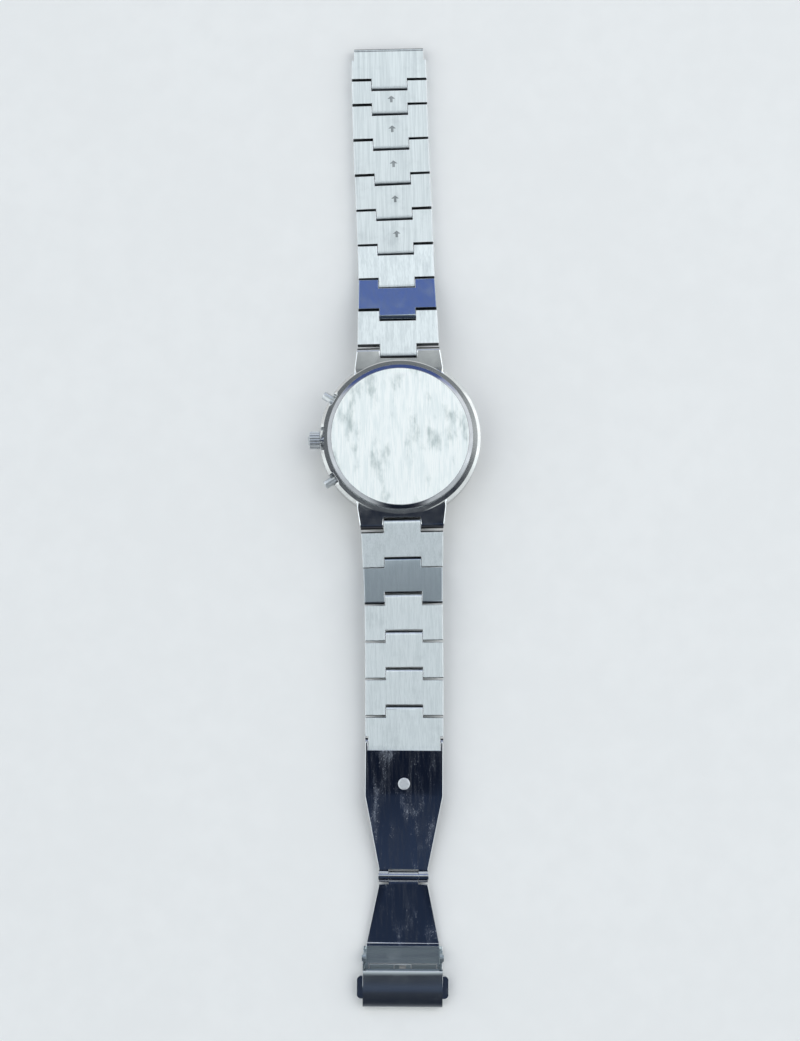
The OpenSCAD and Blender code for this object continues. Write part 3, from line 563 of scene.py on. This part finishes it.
@dataclass
class EasedCopy:
    """Copy of a CAD node with joined faces, eased edges, and rubbing, painted highlight, painted shade and dirt on
    its faces.
    """

    node: str
    finish: Material
    width: float = 0.06
    shortest: float = 1.2
    angle: float = 34.0
    grime: float = 0.0
    steps: int = 2
    facet: float = 17.0
    wear_and_sheen_facet: float = 55.0
    flat: float = 0.6
    wall: Span = (0.45, 0.85)
    second: Material | None = None

    def form(self, bm: Mesh) -> None:
        """Moves corners of the mesh before its faces are joined. Plain copies leave them."""

    def shape(self, bm: Mesh) -> list[Face]:
        """Changes the joined mesh before its edges are eased. Plain copies leave it as it is.

        Args:
            bm: the mesh

        Returns:
            new faces, which get rubbing and painted highlight
        """
        return []

    def shade_and_grime_on(self, face: Face) -> float:
        """How much painted shade and dirt a face holds, 0 to 1. Walls that face along the bracelet hold the most.
        """
        return self.grime * ramp(abs(face.normal.y), *self.wall)

    def paint(self, bm: Mesh, retoned: list[Face]) -> None:
        """Paints rubbing and highlight on eased edges, and painted shade and dirt on the rest.

        Args:
            bm: the mesh
            retoned: faces that get rubbing and painted highlight
        """
        wear_and_sheen, grime = bm.faces.layers.float[WEAR_AND_SHEEN], bm.faces.layers.float[SHADE_AND_GRIME]
        for face in bm.faces:
            face[grime] = 0.0 if face[wear_and_sheen] else self.shade_and_grime_on(face)
        for face in retoned:
            if face.is_valid:
                face[wear_and_sheen], face[grime] = 1.0, 0.0

    def takes_second(self, polygon: bpy.types.MeshPolygon) -> bool:
        """Whether a face takes the second finish. Plain copies have no such face."""
        return False

    def dress(self, piece: Piece) -> None:
        """Gives the second finish, where there is one, to the faces that take it."""
        if self.second is None:
            return
        piece.data.materials.append(self.second)
        for polygon in piece.data.polygons:
            if self.takes_second(polygon):
                polygon.material_index = 1

    def build(self) -> Piece:
        """Makes the piece, which stands for the node.

        Returns:
            the piece
        """
        bm = bmesh.new()
        bm.from_mesh(frame["nodes"][self.node].data)
        bmesh.ops.remove_doubles(bm, verts=bm.verts, dist=WELD)
        self.form(bm)
        bmesh.ops.dissolve_limit(bm, angle_limit=math.radians(self.flat), verts=bm.verts, edges=bm.edges)
        for layer in (WEAR_AND_SHEEN, SHADE_AND_GRIME):
            bm.faces.layers.float.new(layer)
        bm.normal_update()
        # Faces that shape gives get rubbing and painted highlight
        for face in self.shape(bm):
            if face.is_valid:
                face[bm.faces.layers.float[WEAR_AND_SHEEN]] = 1.0
        edges = [edge for edge in bm.edges if edge.is_manifold and edge.calc_length() > self.shortest * MM
                 and edge.calc_face_angle(0.0) > math.radians(self.angle)]
        made = ease(bm, edges, self.width, self.steps)
        bm.normal_update()
        self.paint(bm, made)
        bmesh.ops.triangulate(bm, faces=[face for face in bm.faces if len(face.verts) > 4])
        piece = as_object(f"{self.node}_eased", bm, self.finish, self.facet, self.wear_and_sheen_facet)
        even = piece.modifiers.new("even_normals", "WEIGHTED_NORMAL")
        even.keep_sharp = True
        self.dress(piece)
        register(piece, body_of(self.node), slot_of(self.node), self.node)
        return piece


@dataclass
class LinkCopy(EasedCopy):
    """Link whose tongue is rounded over its pin, with painted shade in the arrow that some links have and at the
    foot of the rounding.
    """

    joint: str = ""
    half: float = 1.15
    start: float = 0.15
    radius: float = 1.0
    cuts: int = 8
    upward: float = 0.8
    arrow_z: Span = (1.07, 1.145)
    arrow_half: float = 0.6
    arrow_wider: float = 1.7
    arrow_shift: Span = (0.4, -0.5)
    arrow_grime: float = 0.55
    foot: Span = (0.93, 0.99)
    along: Vector = field(init=False)
    place: Matrix = field(init=False)
    inside: Matrix = field(init=False)

    def settle(self, bm: Mesh) -> None:
        """Finds the link's own directions from its joint and its top."""
        bm.normal_update()
        joint = next(held for held in frame["joints"] if held["name"] == self.joint)
        upper = (face for face in bm.faces if face.normal.z > self.upward)
        top = max(upper, key=lambda face: face.calc_area()).normal.copy()
        across = Vector(joint["axis"]).normalized()
        self.along = top.cross(across)
        self.place = Matrix((across, self.along, top)).transposed().to_4x4()
        self.place.translation = Vector(joint["pos_m"])
        self.inside = self.place.inverted()

    def form(self, bm: Mesh) -> None:
        """Rounds the upper half of the tongue's end."""
        self.settle(bm)
        for step in range(self.cuts):
            over = self.start + self.radius * math.sin(math.radians(90 * step / self.cuts))
            bmesh.ops.bisect_plane(bm, geom=[*bm.verts, *bm.edges, *bm.faces], dist=ON_PLANE,
                                   plane_co=self.place @ Vector((0, -over * MM, 0)), plane_no=self.along)
        for vert in bm.verts:
            spot = self.inside @ vert.co / MM
            over = -spot.y - self.start
            if over > 0:
                spot.z = min(spot.z, self.half - self.radius + math.sqrt(max(0.0, self.radius ** 2 - over ** 2)))
                vert.co = self.place @ (spot * MM)
        bmesh.ops.remove_doubles(bm, verts=bm.verts, dist=WELD)

    def shape(self, bm: Mesh) -> list[Face]:
        """Gives the arrow the size and place that it has in the photograph."""
        (floor, top), spots = self.arrow_z, {}
        for vert in bm.verts:
            spot = self.inside @ vert.co / MM
            if abs(spot.x) < self.arrow_half and spot.y > 0 and spot.z > floor:
                spots[vert] = spot
        if any(spot.z < top for spot in spots.values()):
            for vert, spot in spots.items():
                spot.x = spot.x * self.arrow_wider + self.arrow_shift[0]
                spot.y += self.arrow_shift[1]
                vert.co = self.place @ (spot * MM)
        return []

    def shade_and_grime_on(self, face: Face) -> float:
        """Painted shade and dirt on the walls, and painted shade in the arrow and at the steep foot of the tongue's
        rounding.
        """
        spot = self.inside @ face.calc_center_median() / MM
        # Painted shade on the steep foot of the rounding
        if spot.y < -self.start and spot.z > self.half - self.radius:
            return ramp(-face.normal.dot(self.along), *self.foot)
        # Painted shade in the arrow's hollow
        if abs(spot.x) < 2 * self.arrow_half * self.arrow_wider and self.arrow_z[0] < spot.z < self.arrow_z[1]:
            return self.arrow_grime
        return super().shade_and_grime_on(face)


@dataclass
class CaseCopy(EasedCopy):
    """Case middle, with broad eased edges along the lugs, brightened by rubbing and painted highlight, and painted
    shade in the gaps at their ends.
    """

    broad: float = 0.26
    lug_from: float = 15.5
    gap_from: float = 18.6
    lug_half: float = 9.9
    grime_from: float = 3.0
    rim_from: float = 17.9
    rim_z: float = 7.45
    fall: float = 0.2
    shortest_lug: float = 0.8
    level: float = 0.9
    steep: float = 0.8
    gap_grime: float = 0.9
    facing: float = 0.5

    def form(self, bm: Mesh) -> None:
        """Lets the outer edge of the flat rim fall a little towards the flank without the crown."""
        for vert in bm.verts:
            radius = math.hypot(vert.co.x, vert.co.y)
            if vert.co.z > self.rim_z * MM and radius > self.rim_from * MM:
                vert.co.z -= self.fall * MM * max(0.0, vert.co.x / radius) ** 2

    def shape(self, bm: Mesh) -> list[Face]:
        """Eases the upper edges along the lugs and their notches more broadly."""
        edges = []
        for edge in bm.edges:
            if len(edge.link_faces) == 2 and edge.calc_length() > self.shortest_lug * MM:
                high, low = sorted(edge.link_faces, key=lambda face: -face.normal.z)
                middle = (edge.verts[0].co + edge.verts[1].co) / 2
                turned = high.normal.z > self.level and abs(low.normal.x) > self.steep
                if turned and abs(middle.y) > self.lug_from * MM:
                    edges.append(edge)
        LOG.info("%d edges of the lugs are eased broadly", len(edges))
        return ease(bm, edges, self.broad, self.steps)

    def shade_and_grime_on(self, face: Face) -> float:
        """Painted shade on the walls at the lugs' ends and inside the notches."""
        middle = face.calc_center_median()
        inside = (abs(middle.x) < self.lug_half * MM and abs(middle.y) > self.gap_from * MM
                  and middle.z > self.grime_from * MM)
        return self.gap_grime if inside and abs(face.normal.y) > self.facing else 0.0


@dataclass
class BackCopy(EasedCopy):
    """Case back, with a polished low bevel and a fine line of painted shade where its flat meets it."""

    flat_r: float = 16.25
    top_z: float = 8.8
    foot_z: float = 7.6
    slope: float = 0.4
    margin: float = 0.1
    line_grime: float = 0.45
    bevel_up: Span = (0.2, 0.985)

    def form(self, bm: Mesh) -> None:
        """Lowers the bevel's slope, which leaves a short wall below it."""
        for vert in bm.verts:
            over = math.hypot(vert.co.x, vert.co.y) / MM - self.flat_r
            if over > self.margin and vert.co.z > self.foot_z * MM:
                vert.co.z = (self.top_z - over * self.slope) * MM

    def paint(self, bm: Mesh, retoned: list[Face]) -> None:
        """Paints shade on the eased edges, a dark line round the flat."""
        grime = bm.faces.layers.float[SHADE_AND_GRIME]
        for face in retoned:
            if face.is_valid:
                face[grime] = self.line_grime

    def takes_second(self, polygon: bpy.types.MeshPolygon) -> bool:
        """The bevel is polished."""
        return self.bevel_up[0] < polygon.normal.z < self.bevel_up[1]


@dataclass
class ClaspLinkCopy(LinkCopy):
    """Last link, whose narrow end reaches further over the pin."""

    past: float = 0.6
    more: float = 1.3

    def form(self, bm: Mesh) -> None:
        """Draws the upper part of the narrow end out as well."""
        super().form(bm)
        for vert in bm.verts:
            if vert.co.y < (CLASP_PIN_Y - self.past) * MM and (self.inside @ vert.co).z > 0:
                vert.co += self.along * self.more * MM


@dataclass
class InnerBladeCopy(EasedCopy):
    """Inner blade, whose front edge stands back from the last link."""

    edge_y: Span = (-2.4, -1.2)
    middle_x: float = -0.6
    half: float = 8.3
    back: float = 1.2

    def form(self, bm: Mesh) -> None:
        """Moves the front edge of the blade's plate back."""
        low, high = (limit * MM for limit in self.edge_y)
        for vert in bm.verts:
            inside = abs(vert.co.x - self.middle_x * MM) < self.half * MM
            if inside and low < vert.co.y - CLASP_PIN_Y * MM < high:
                vert.co.y -= self.back * MM


@dataclass
class OuterBladeCopy(EasedCopy):
    """Outer blade, with a satin floor in its pocket."""

    pocket: Span = (-125.8, -118.2)

    def takes_second(self, polygon: bpy.types.MeshPolygon) -> bool:
        """The pocket is satin."""
        return self.pocket[0] * MM < polygon.center.y < self.pocket[1] * MM


@dataclass
class ButtonCopy(EasedCopy):
    """Release button, with a satin catch arm under the cover."""

    middle_x: float = -2.0
    reach: float = 7.5

    def takes_second(self, polygon: bpy.types.MeshPolygon) -> bool:
        """The arm under the cover is satin."""
        return abs(polygon.center.x - self.middle_x * MM) < self.reach * MM


@dataclass
class Finishes:
    """All the finishes of the watch, by name."""

    made: dict[str, Material] = field(default_factory=dict)

    def __post_init__(self) -> None:
        """Makes each material once."""
        # Name, light and dark tone and roughness come first
        kinds = [
            Steel("link_brushed", (0.76, 0.81, 0.83), (0.63, 0.68, 0.70), 0.42, rough_spread=0.04,
                  grain_pitch=0.14, grain_depth=0.0002, spread=0.85, smudge=0.18),
            # A darker, smoother copy of the brushed link steel for the second links; its darker colour is painted
            # shade
            Steel("link_worn", (0.54, 0.61, 0.66), (0.46, 0.53, 0.58), 0.18, rough_spread=0.02, grain_pitch=0.14,
                  smudge=0.12),
            Steel("pocket_satin", (0.50, 0.56, 0.58), (0.36, 0.42, 0.44), 0.38, rough_spread=0.05,
                  grain=Grain.ACROSS, grain_pitch=0.2, grain_depth=0.0004, grain_length=6.0, spread=0.8,
                  smudge=0.3),
            # The back's disc is painted lighter and its bevel darker than the case's polished steel: painted light
            # and painted shade
            Steel("back_brushed", (0.97, 1.0, 1.0), (0.84, 0.895, 0.905), 0.48, grain_pitch=0.22,
                  grain_depth=0.0006, grain_length=5.0, spread=0.85, smudge=0.55, smudge_size=3.2,
                  smudge_length=2.4, smudge_colour=(0.44, 0.52, 0.52)),
            Steel("case_polished", (0.66, 0.67, 0.66), (0.56, 0.57, 0.57), 0.16, rough_spread=0.03,
                  grain=Grain.NONE, smudge=0.12, smudge_size=3.0),
            Steel("bevel_polished", (0.42, 0.43, 0.45), (0.35, 0.36, 0.38), 0.13, rough_spread=0.03,
                  grain=Grain.NONE, smudge=0.1, smudge_size=3.0),
            Steel("blade_mirror", (0.50, 0.52, 0.55), (0.42, 0.44, 0.48), 0.11, rough_spread=0.05, grain_pitch=0.5,
                  smudge=0.38, smudge_size=3.0, smudge_length=2.8, smudge_colour=(0.50, 0.57, 0.72), scratch=0.003,
                  scuffs=0.20),
            Steel("cover_satin", (0.50, 0.54, 0.57), (0.46, 0.50, 0.53), 0.20, rough_spread=0.01,
                  grain=Grain.ACROSS, grain_pitch=0.2, grain_length=6.0, smudge=0.06, smudge_size=3.0),
            Steel("button_steel", (0.40, 0.42, 0.45), (0.26, 0.28, 0.32), 0.16, rough_spread=0.04,
                  grain=Grain.NONE),
            Steel("crown_steel", (0.76, 0.79, 0.80), (0.50, 0.53, 0.55), 0.30, grain=Grain.NONE, smudge=0.3,
                  smudge_size=0.8),
            Steel("pin_steel", (0.78, 0.80, 0.82), (0.60, 0.62, 0.64), 0.22, rough_spread=0.05, grain=Grain.NONE),
            Steel("stud_steel", (0.88, 0.90, 0.92), (0.58, 0.61, 0.64), 0.42, rough_spread=0.10, grain=Grain.NONE,
                  smudge=0.5, smudge_size=0.9),
            Steel("spring_steel", (0.60, 0.62, 0.64), (0.42, 0.44, 0.46), 0.30, rough_spread=0.05,
                  grain=Grain.ACROSS),
            Steel("cell_steel", (0.82, 0.83, 0.84), (0.64, 0.66, 0.68), 0.22, rough_spread=0.05, grain=Grain.TURNED,
                  grain_pitch=0.12, grain_depth=0.0004, centre=(5.6 * MM, 5.6 * MM, 7 * MM)),
            Steel("movement_gilt", (0.88, 0.74, 0.46), (0.70, 0.56, 0.32), 0.26, rough_spread=0.05,
                  grain=Grain.ACROSS, grain_pitch=0.5, grain_depth=0.0008),
            Steel("hand_bright", (0.90, 0.91, 0.93), (0.78, 0.80, 0.83), 0.12, rough_spread=0.03, grain=Grain.NONE),
            Steel("marker_bright", (0.92, 0.93, 0.95), (0.80, 0.82, 0.85), 0.10, rough_spread=0.03,
                  grain=Grain.NONE),
            Steel("ring_silver", (0.78, 0.80, 0.83), (0.62, 0.64, 0.68), 0.24, rough_spread=0.04,
                  grain=Grain.TURNED, grain_pitch=0.1, grain_depth=0.0003),
            Coat("dial_blue", (0.030, 0.060, 0.165), (0.012, 0.026, 0.085), 0.34, metallic=0.55, grain_size=0.2,
                 depth=0.002, rays=True),
            Coat("print_white", (0.86, 0.88, 0.90), (0.72, 0.74, 0.78), 0.55, grain_size=0.1, depth=0.001),
            Coat("hand_red", (0.80, 0.09, 0.05), (0.62, 0.05, 0.03), 0.35),
            Coat("gasket_black", (0.035, 0.035, 0.038), (0.015, 0.015, 0.017), 0.7),
            Coat("holder_white", (0.82, 0.82, 0.78), (0.70, 0.70, 0.66), 0.5),
            Glass("crystal_glass"),
        ]
        for kind in kinds:
            self.made[kind.name] = kind.build()

    def __getitem__(self, name: str) -> Material:
        """The material of that name."""
        return self.made[name]

    def dress(self, node: str, name: str) -> None:
        """Gives a CAD node a finish.

        Args:
            node: the CAD node
            name: name of the finish
        """
        piece = frame["nodes"][node]
        if not piece.material_slots:
            piece.data.materials.append(self.made[name])
        for held in piece.material_slots:
            held.material = self.made[name]
        LOG.info("%s is dressed in %s", node, name)


@dataclass
class ReturnSpring:
    """Coil round a pusher's stem, which rides on the case."""

    finish: Material
    joint: str
    side: int
    turn: float = 31.0
    inner: float = 17.07
    length: float = 0.91
    axis_z: float = 4.95
    coil_r: float = 0.605
    wire_r: float = 0.1
    turns: float = 2.5
    sides: int = 8
    steps: int = 60
    facet: float = 60.0
    pressed: float = 0.11

    def build(self) -> Piece:
        """Winds the coil and lays it round the stem.

        Returns:
            the piece, which stands for its half of the springs' node
        """
        bm = bmesh.new()
        start = Matrix.Translation((self.coil_r, 0, self.wire_r)) @ Matrix.Rotation(math.pi / 2, 4, "X")
        bmesh.ops.create_circle(bm, segments=self.sides, radius=self.wire_r, matrix=start)
        rise = (self.length - 2 * self.wire_r) / self.steps
        bmesh.ops.spin(bm, geom=[*bm.verts, *bm.edges], cent=(0, 0, 0), axis=(0, 0, 1), dvec=(0, 0, rise),
                       angle=math.tau * self.turns, steps=self.steps)
        bmesh.ops.holes_fill(bm, edges=[edge for edge in bm.edges if edge.is_boundary], sides=self.sides)
        bmesh.ops.recalc_face_normals(bm, faces=bm.faces)
        turn = math.radians(self.turn)
        outward = Vector((-math.cos(turn), self.side * math.sin(turn), 0))
        foot = outward * self.inner + Vector((0, 0, self.axis_z))
        place = Matrix.Translation(foot) @ outward.to_track_quat("Z", "Y").to_matrix().to_4x4()
        bmesh.ops.transform(bm, matrix=Matrix.Scale(MM, 4) @ place, verts=bm.verts)
        piece = as_object(f"{self.joint}_spring", bm, self.finish, self.facet, self.facet)
        register(piece, "case", slot_of("pusher_springs"), "pusher_springs")
        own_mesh(piece)
        return piece


@dataclass
class Case:
    """Case with lugs, back, crystal and the pieces inside it."""

    finishes: Finishes
    edge: float = 0.07

    def build(self) -> None:
        """Eases the case's edges and dresses its pieces."""
        CaseCopy("case_middle", self.finishes["case_polished"], width=self.edge, shortest=0.2, angle=40.0).build()
        BackCopy("case_back", self.finishes["back_brushed"], width=self.edge, shortest=0.3, angle=15.0,
                 second=self.finishes["bevel_polished"]).build()
        for node, name in CASE_FINISHES.items():
            self.finishes.dress(node, name)


@dataclass
class Controls:
    """Crown and pushers."""

    finishes: Finishes
    edge: float = 0.04

    def build(self) -> None:
        """Eases the crown's and the pushers' edges."""
        for node in ("crown", "start_pusher", "reset_pusher"):
            EasedCopy(node, self.finishes["crown_steel"], width=self.edge, shortest=0.3).build()
        for joint, side in (("start_press", -1), ("reset_press", 1)):
            ReturnSpring(self.finishes["spring_steel"], joint, side).build()


@dataclass
class Bracelet:
    """Both strands of links with their pins."""

    finishes: Finishes
    upper: int = 9
    lower: int = 6
    edge: float = 0.08
    # The second link of each strand takes the darker copy of the link steel, which is painted shade
    retoned: tuple[str, ...] = ("upper_link_2", "lower_link_2")

    def build(self) -> None:
        """Eases every link and dresses its pin."""
        for strand, count in (("upper", self.upper), ("lower", self.lower)):
            for place in range(1, count + 1):
                name = f"{strand}_link_{place}"
                finish = self.finishes["link_worn" if name in self.retoned else "link_brushed"]
                kind = ClaspLinkCopy if name == "lower_link_6" else LinkCopy
                kind(name, finish, width=self.edge, grime=1.0, joint=f"{strand}_bend_{place}").build()
                pin = f"{strand}_pin_{place}"
                if pin in frame["nodes"]:
                    self.finishes.dress(pin, "pin_steel")


@dataclass
class Clasp:
    """Folding clasp with its blades, stud, cover and release buttons."""

    finishes: Finishes
    edge: float = 0.12

    def build(self) -> None:
        """Eases and dresses the clasp's pieces."""
        InnerBladeCopy("clasp_inner_blade", self.finishes["blade_mirror"], width=self.edge).build()
        OuterBladeCopy("clasp_outer_blade", self.finishes["blade_mirror"], width=self.edge,
                       second=self.finishes["pocket_satin"]).build()
        EasedCopy("clasp_cover", self.finishes["cover_satin"]).build()
        for side in ("left", "right"):
            ButtonCopy(f"{side}_release_button", self.finishes["button_steel"],
                       second=self.finishes["pocket_satin"]).build()
        self.finishes.dress("clasp_stud", "stud_steel")
        self.finishes.dress("clasp_hinge_pin", "pin_steel")


@dataclass
class DialPrint:
    """Tracks and plain numerals printed on the dial."""

    finish: Material
    dial_z: float = 3.5
    thick: float = 0.012
    track_r: float = 13.3
    tick_l: float = 0.55
    tick_w: float = 0.1
    rim_gap: float = 0.14
    rim_w: float = 0.07
    small_at: float = 6.6
    small_r: float = 3.45
    small_rim_w: float = 0.06
    small_tick_l: float = 0.45
    small_tick_w: float = 0.08
    sunk: float = 0.08
    text_in: float = 1.15
    text_size: float = 1.05
    steps: int = 72

    def tick(self, bm: Mesh, centre: Vector, angle: float, outer: float, length: float, width: float,
             top: float) -> None:
        """Adds one mark of a track.

        Args:
            bm: mesh that it is added to
            centre: centre of the track, in millimetres
            angle: its place in degrees, clockwise from twelve on the dial
            outer: radius of its outer end
            length: its length
            width: its width
            top: height that it is printed on
        """
        place = (Matrix.Translation(Vector((centre.x, centre.y, top - self.thick / 2)))
                 @ Matrix.Rotation(math.radians(angle), 4, "Z")
                 @ Matrix.Translation((0, outer - length / 2, 0))
                 @ Matrix.Diagonal((width, length, self.thick, 1)))
        bmesh.ops.create_cube(bm, size=1.0, matrix=place)

    def ring(self, bm: Mesh, centre: Vector, radius: float, width: float, top: float) -> None:
        """Adds one thin printed ring.

        Args:
            bm: mesh that it is added to
            centre: its centre
            radius: its outer radius
            width: its width
            top: height that it is printed on
        """
        place = Matrix.Translation(centre + Vector((radius - width / 2, 0, top - self.thick / 2)))
        shape = (place @ Matrix.Rotation(math.pi / 2, 4, "X") @ Matrix.Diagonal((width, self.thick, 1, 1))
                 @ Matrix.Rotation(math.pi / 4, 4, "Z"))
        made = bmesh.ops.create_circle(bm, segments=4, radius=math.sqrt(0.5), matrix=shape)
        edges = dict.fromkeys(edge for vert in made["verts"] for edge in vert.link_edges)
        bmesh.ops.spin(bm, geom=[*made["verts"], *edges], cent=centre, axis=(0, 0, 1), angle=math.tau,
                       steps=self.steps, use_merge=True)

    def numeral(self, bm: Mesh, text: str, at: Vector, size: float, top: float) -> None:
        """Adds a plain numeral that reads from the crystal's side.

        Args:
            bm: mesh that it is added to
            text: the numeral
            at: its centre, in millimetres
            size: its size
            top: height that it is printed on
        """
        curve = bpy.data.curves.new("numeral", "FONT")
        curve.body = text
        curve.size = size
        curve.align_x, curve.align_y = "CENTER", "CENTER"
        curve.extrude = self.thick / 2
        holder = bpy.data.objects.new("numeral", curve)
        bpy.context.scene.collection.objects.link(holder)
        bpy.context.view_layer.update()
        mesh = bpy.data.meshes.new_from_object(holder.evaluated_get(bpy.context.evaluated_depsgraph_get()))
        turn = Matrix.Translation((at.x, at.y, top - self.thick / 2)) @ Matrix.Rotation(math.pi, 4, "Y")
        mesh.transform(turn)
        bm.from_mesh(mesh)
        bpy.data.objects.remove(holder)
        bpy.data.curves.remove(curve)
        bpy.data.meshes.remove(mesh)

    def build(self) -> None:
        """Prints the minute track and the three small dials."""
        bm = bmesh.new()
        middle = Vector((0, 0, 0))
        for minute in range(60):
            if minute % 5:
                self.tick(bm, middle, 6 * minute, self.track_r, self.tick_l, self.tick_w, self.dial_z)
        self.ring(bm, middle, self.track_r + self.rim_gap, self.rim_w, self.dial_z)
        level = self.dial_z + self.sunk
        for side, numerals, marks in SMALL_DIALS:
            centre = Vector((*side, 0)) * self.small_at
            self.ring(bm, centre, self.small_r, self.small_rim_w, level)
            for mark in range(marks):
                self.tick(bm, centre, 360 * mark / marks, self.small_r, self.small_tick_l, self.small_tick_w, level)
            for index, text in enumerate(numerals):
                angle = math.radians(90 * index)
                at = centre + Vector((-math.sin(angle), math.cos(angle), 0)) * (self.small_r - self.text_in)
                self.numeral(bm, text, at, self.text_size, level)
        bmesh.ops.scale(bm, vec=(MM, MM, MM), verts=bm.verts)
        bmesh.ops.recalc_face_normals(bm, faces=bm.faces)
        register(as_object("dial_print", bm, self.finish), "case", "marker_bright")


@dataclass(frozen=True)
class Room:
    """Room that the steel mirrors, dark above and behind the camera and pale at the sides and the horizon.

    Its bands are ranges of the direction's y, and where the name says so of z, of x squared or of y / z.
    """

    dark: Colour = (0.010, 0.016, 0.034)
    haze: Colour = (0.046, 0.070, 0.130)
    grey: Colour = (0.22, 0.24, 0.26)
    pale: Colour = (0.92, 0.98, 1.0)
    side: Colour = (1.04, 1.10, 1.12)
    glow: Colour = (1.34, 1.43, 1.46)
    blue: Colour = (0.110, 0.180, 0.52)
    horizon: Colour = (0.84, 0.85, 0.87)
    haze_band: tuple[Span, Span] = ((-0.56, -0.40), (-0.26, -0.06))
    grey_band: tuple[Span, Span] = ((0.125, 0.155), (0.20, 0.28))
    pale_from: Span = (0.17, 0.46)
    side_from: Span = (-0.88, -0.70)
    side_from_xx: Span = (0.02, 0.10)
    glow_band: tuple[Span, Span] = ((-0.34, -0.16), (-0.10, 0.04))
    blue_from_yz: Span = (0.85, 1.05)
    blue_from_z: Span = (0.44, 0.54)
    blue_to_xx: Span = (0.25, 0.42)
    horizon_to_z: Span = (0.06, 0.28)

    def build(self) -> None:
        """Puts the room round the scene."""
        world = bpy.data.worlds.new("room")
        world.use_nodes = True
        bpy.context.scene.world = world
        graph = Graph(world.node_tree, "Generated")
        x, y, z = graph.node("SeparateXYZ", {0: graph.place}).outputs
        across = graph.combine(x, x, "MULTIPLY")
        colour = graph.blend(graph.band(y, *self.haze_band), self.dark, self.haze)
        colour = graph.blend(graph.band(y, *self.grey_band), colour, self.grey)
        colour = graph.blend(graph.fit(y, *self.pale_from), colour, self.pale)
        bright = graph.blend(graph.band(y, *self.glow_band), self.side, self.glow)
        beside = graph.combine(graph.fit(across, *self.side_from_xx), graph.fit(y, *self.side_from), "MULTIPLY")
        colour = graph.blend(beside, colour, bright)
        above = graph.fit(graph.combine(y, z, "DIVIDE"), *self.blue_from_yz)
        above = graph.combine(above, graph.fit(z, *self.blue_from_z), "MULTIPLY")
        above = graph.combine(above, graph.fit(across, *self.blue_to_xx, 1.0, 0.0), "MULTIPLY")
        colour = graph.blend(above, colour, self.blue)
        colour = graph.blend(graph.fit(z, *self.horizon_to_z, 1.0, 0.0), colour, self.horizon)
        ground = graph.node("Background", {0: colour})
        graph.node("OutputWorld", {0: ground.outputs[0]})


@dataclass(frozen=True)
class Lamp:
    """Round soft light that is aimed at the watch, with its place and size in metres."""

    name: str
    place: Triple
    power: float
    size: float = 0.95

    def build(self) -> None:
        """Hangs the lamp."""
        lamp = bpy.data.lights.new(self.name, "AREA")
        lamp.shape = "DISK"
        lamp.size = self.size
        lamp.energy = self.power
        holder = bpy.data.objects.new(self.name, lamp)
        holder.location = self.place
        holder.rotation_euler = (-Vector(self.place)).to_track_quat("-Z", "Y").to_euler()
        bpy.context.scene.collection.objects.link(holder)


@dataclass
class Studio:
    """Pale floor, the room, its lamps and the camera above the watch."""

    floor_size: float = 6.0
    floor_z: float = -0.02
    lamps: tuple[Lamp, ...] = (Lamp("key", (0.62, 0.30, 0.62), 1.3), Lamp("fill", (-0.70, 0.25, 0.55), 0.5))
    camera_at: Triple = (-1.69, -78.45, 485.08)
    tilt: float = 7.0
    turn: float = -1.2
    lens: float = 92.46

    def build(self) -> None:
        """Sets up the whole studio."""
        self.floor()
        Room().build()
        for lamp in self.lamps:
            lamp.build()
        self.camera()
        bpy.context.scene.view_settings.view_transform = "Standard"

    def floor(self) -> None:
        """Lays the pale floor under the watch."""
        bm = bmesh.new()
        bmesh.ops.create_grid(bm, x_segments=8, y_segments=8, size=self.floor_size / 2,
                              matrix=Matrix.Translation((0, 0, self.floor_z * MM)))
        coat = Coat("floor_pale", (0.87, 0.865, 0.855), (0.85, 0.845, 0.835), 0.75, grain_size=40.0, depth=0.0)
        floor = as_object("floor", bm, coat.build())
        floor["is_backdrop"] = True

    def camera(self) -> None:
        """Puts the camera where the photograph was taken from."""
        data = bpy.data.cameras.new("camera")
        data.sensor_fit = "HORIZONTAL"
        data.sensor_width = 36.0
        data.lens = self.lens
        data.clip_start = 0.01
        holder = bpy.data.objects.new("camera", data)
        holder.location = Vector(self.camera_at) * MM
        holder.rotation_euler = Euler((math.radians(self.tilt), 0, math.radians(self.turn)))
        bpy.context.scene.collection.objects.link(holder)
        bpy.context.scene.camera = holder


def write_sizes() -> None:
    """Gathers the CAD model's box and the visual model's box; nothing keeps the result."""
    boxes = {"cad": CAD_BOX, "visual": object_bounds()}
    {name: [[float(v) for v in corner] for corner in box] for name, box in boxes.items()}


def main() -> None:
    """Builds the whole scene in order."""
    logging.basicConfig(level=logging.INFO, format="%(name)s: %(message)s")
    Studio().build()
    finishes = Finishes()
    Case(finishes).build()
    Controls(finishes).build()
    Bracelet(finishes).build()
    Clasp(finishes).build()
    DialPrint(finishes["print_white"]).build()
    write_sizes()


if __name__ == "__main__":
    main()
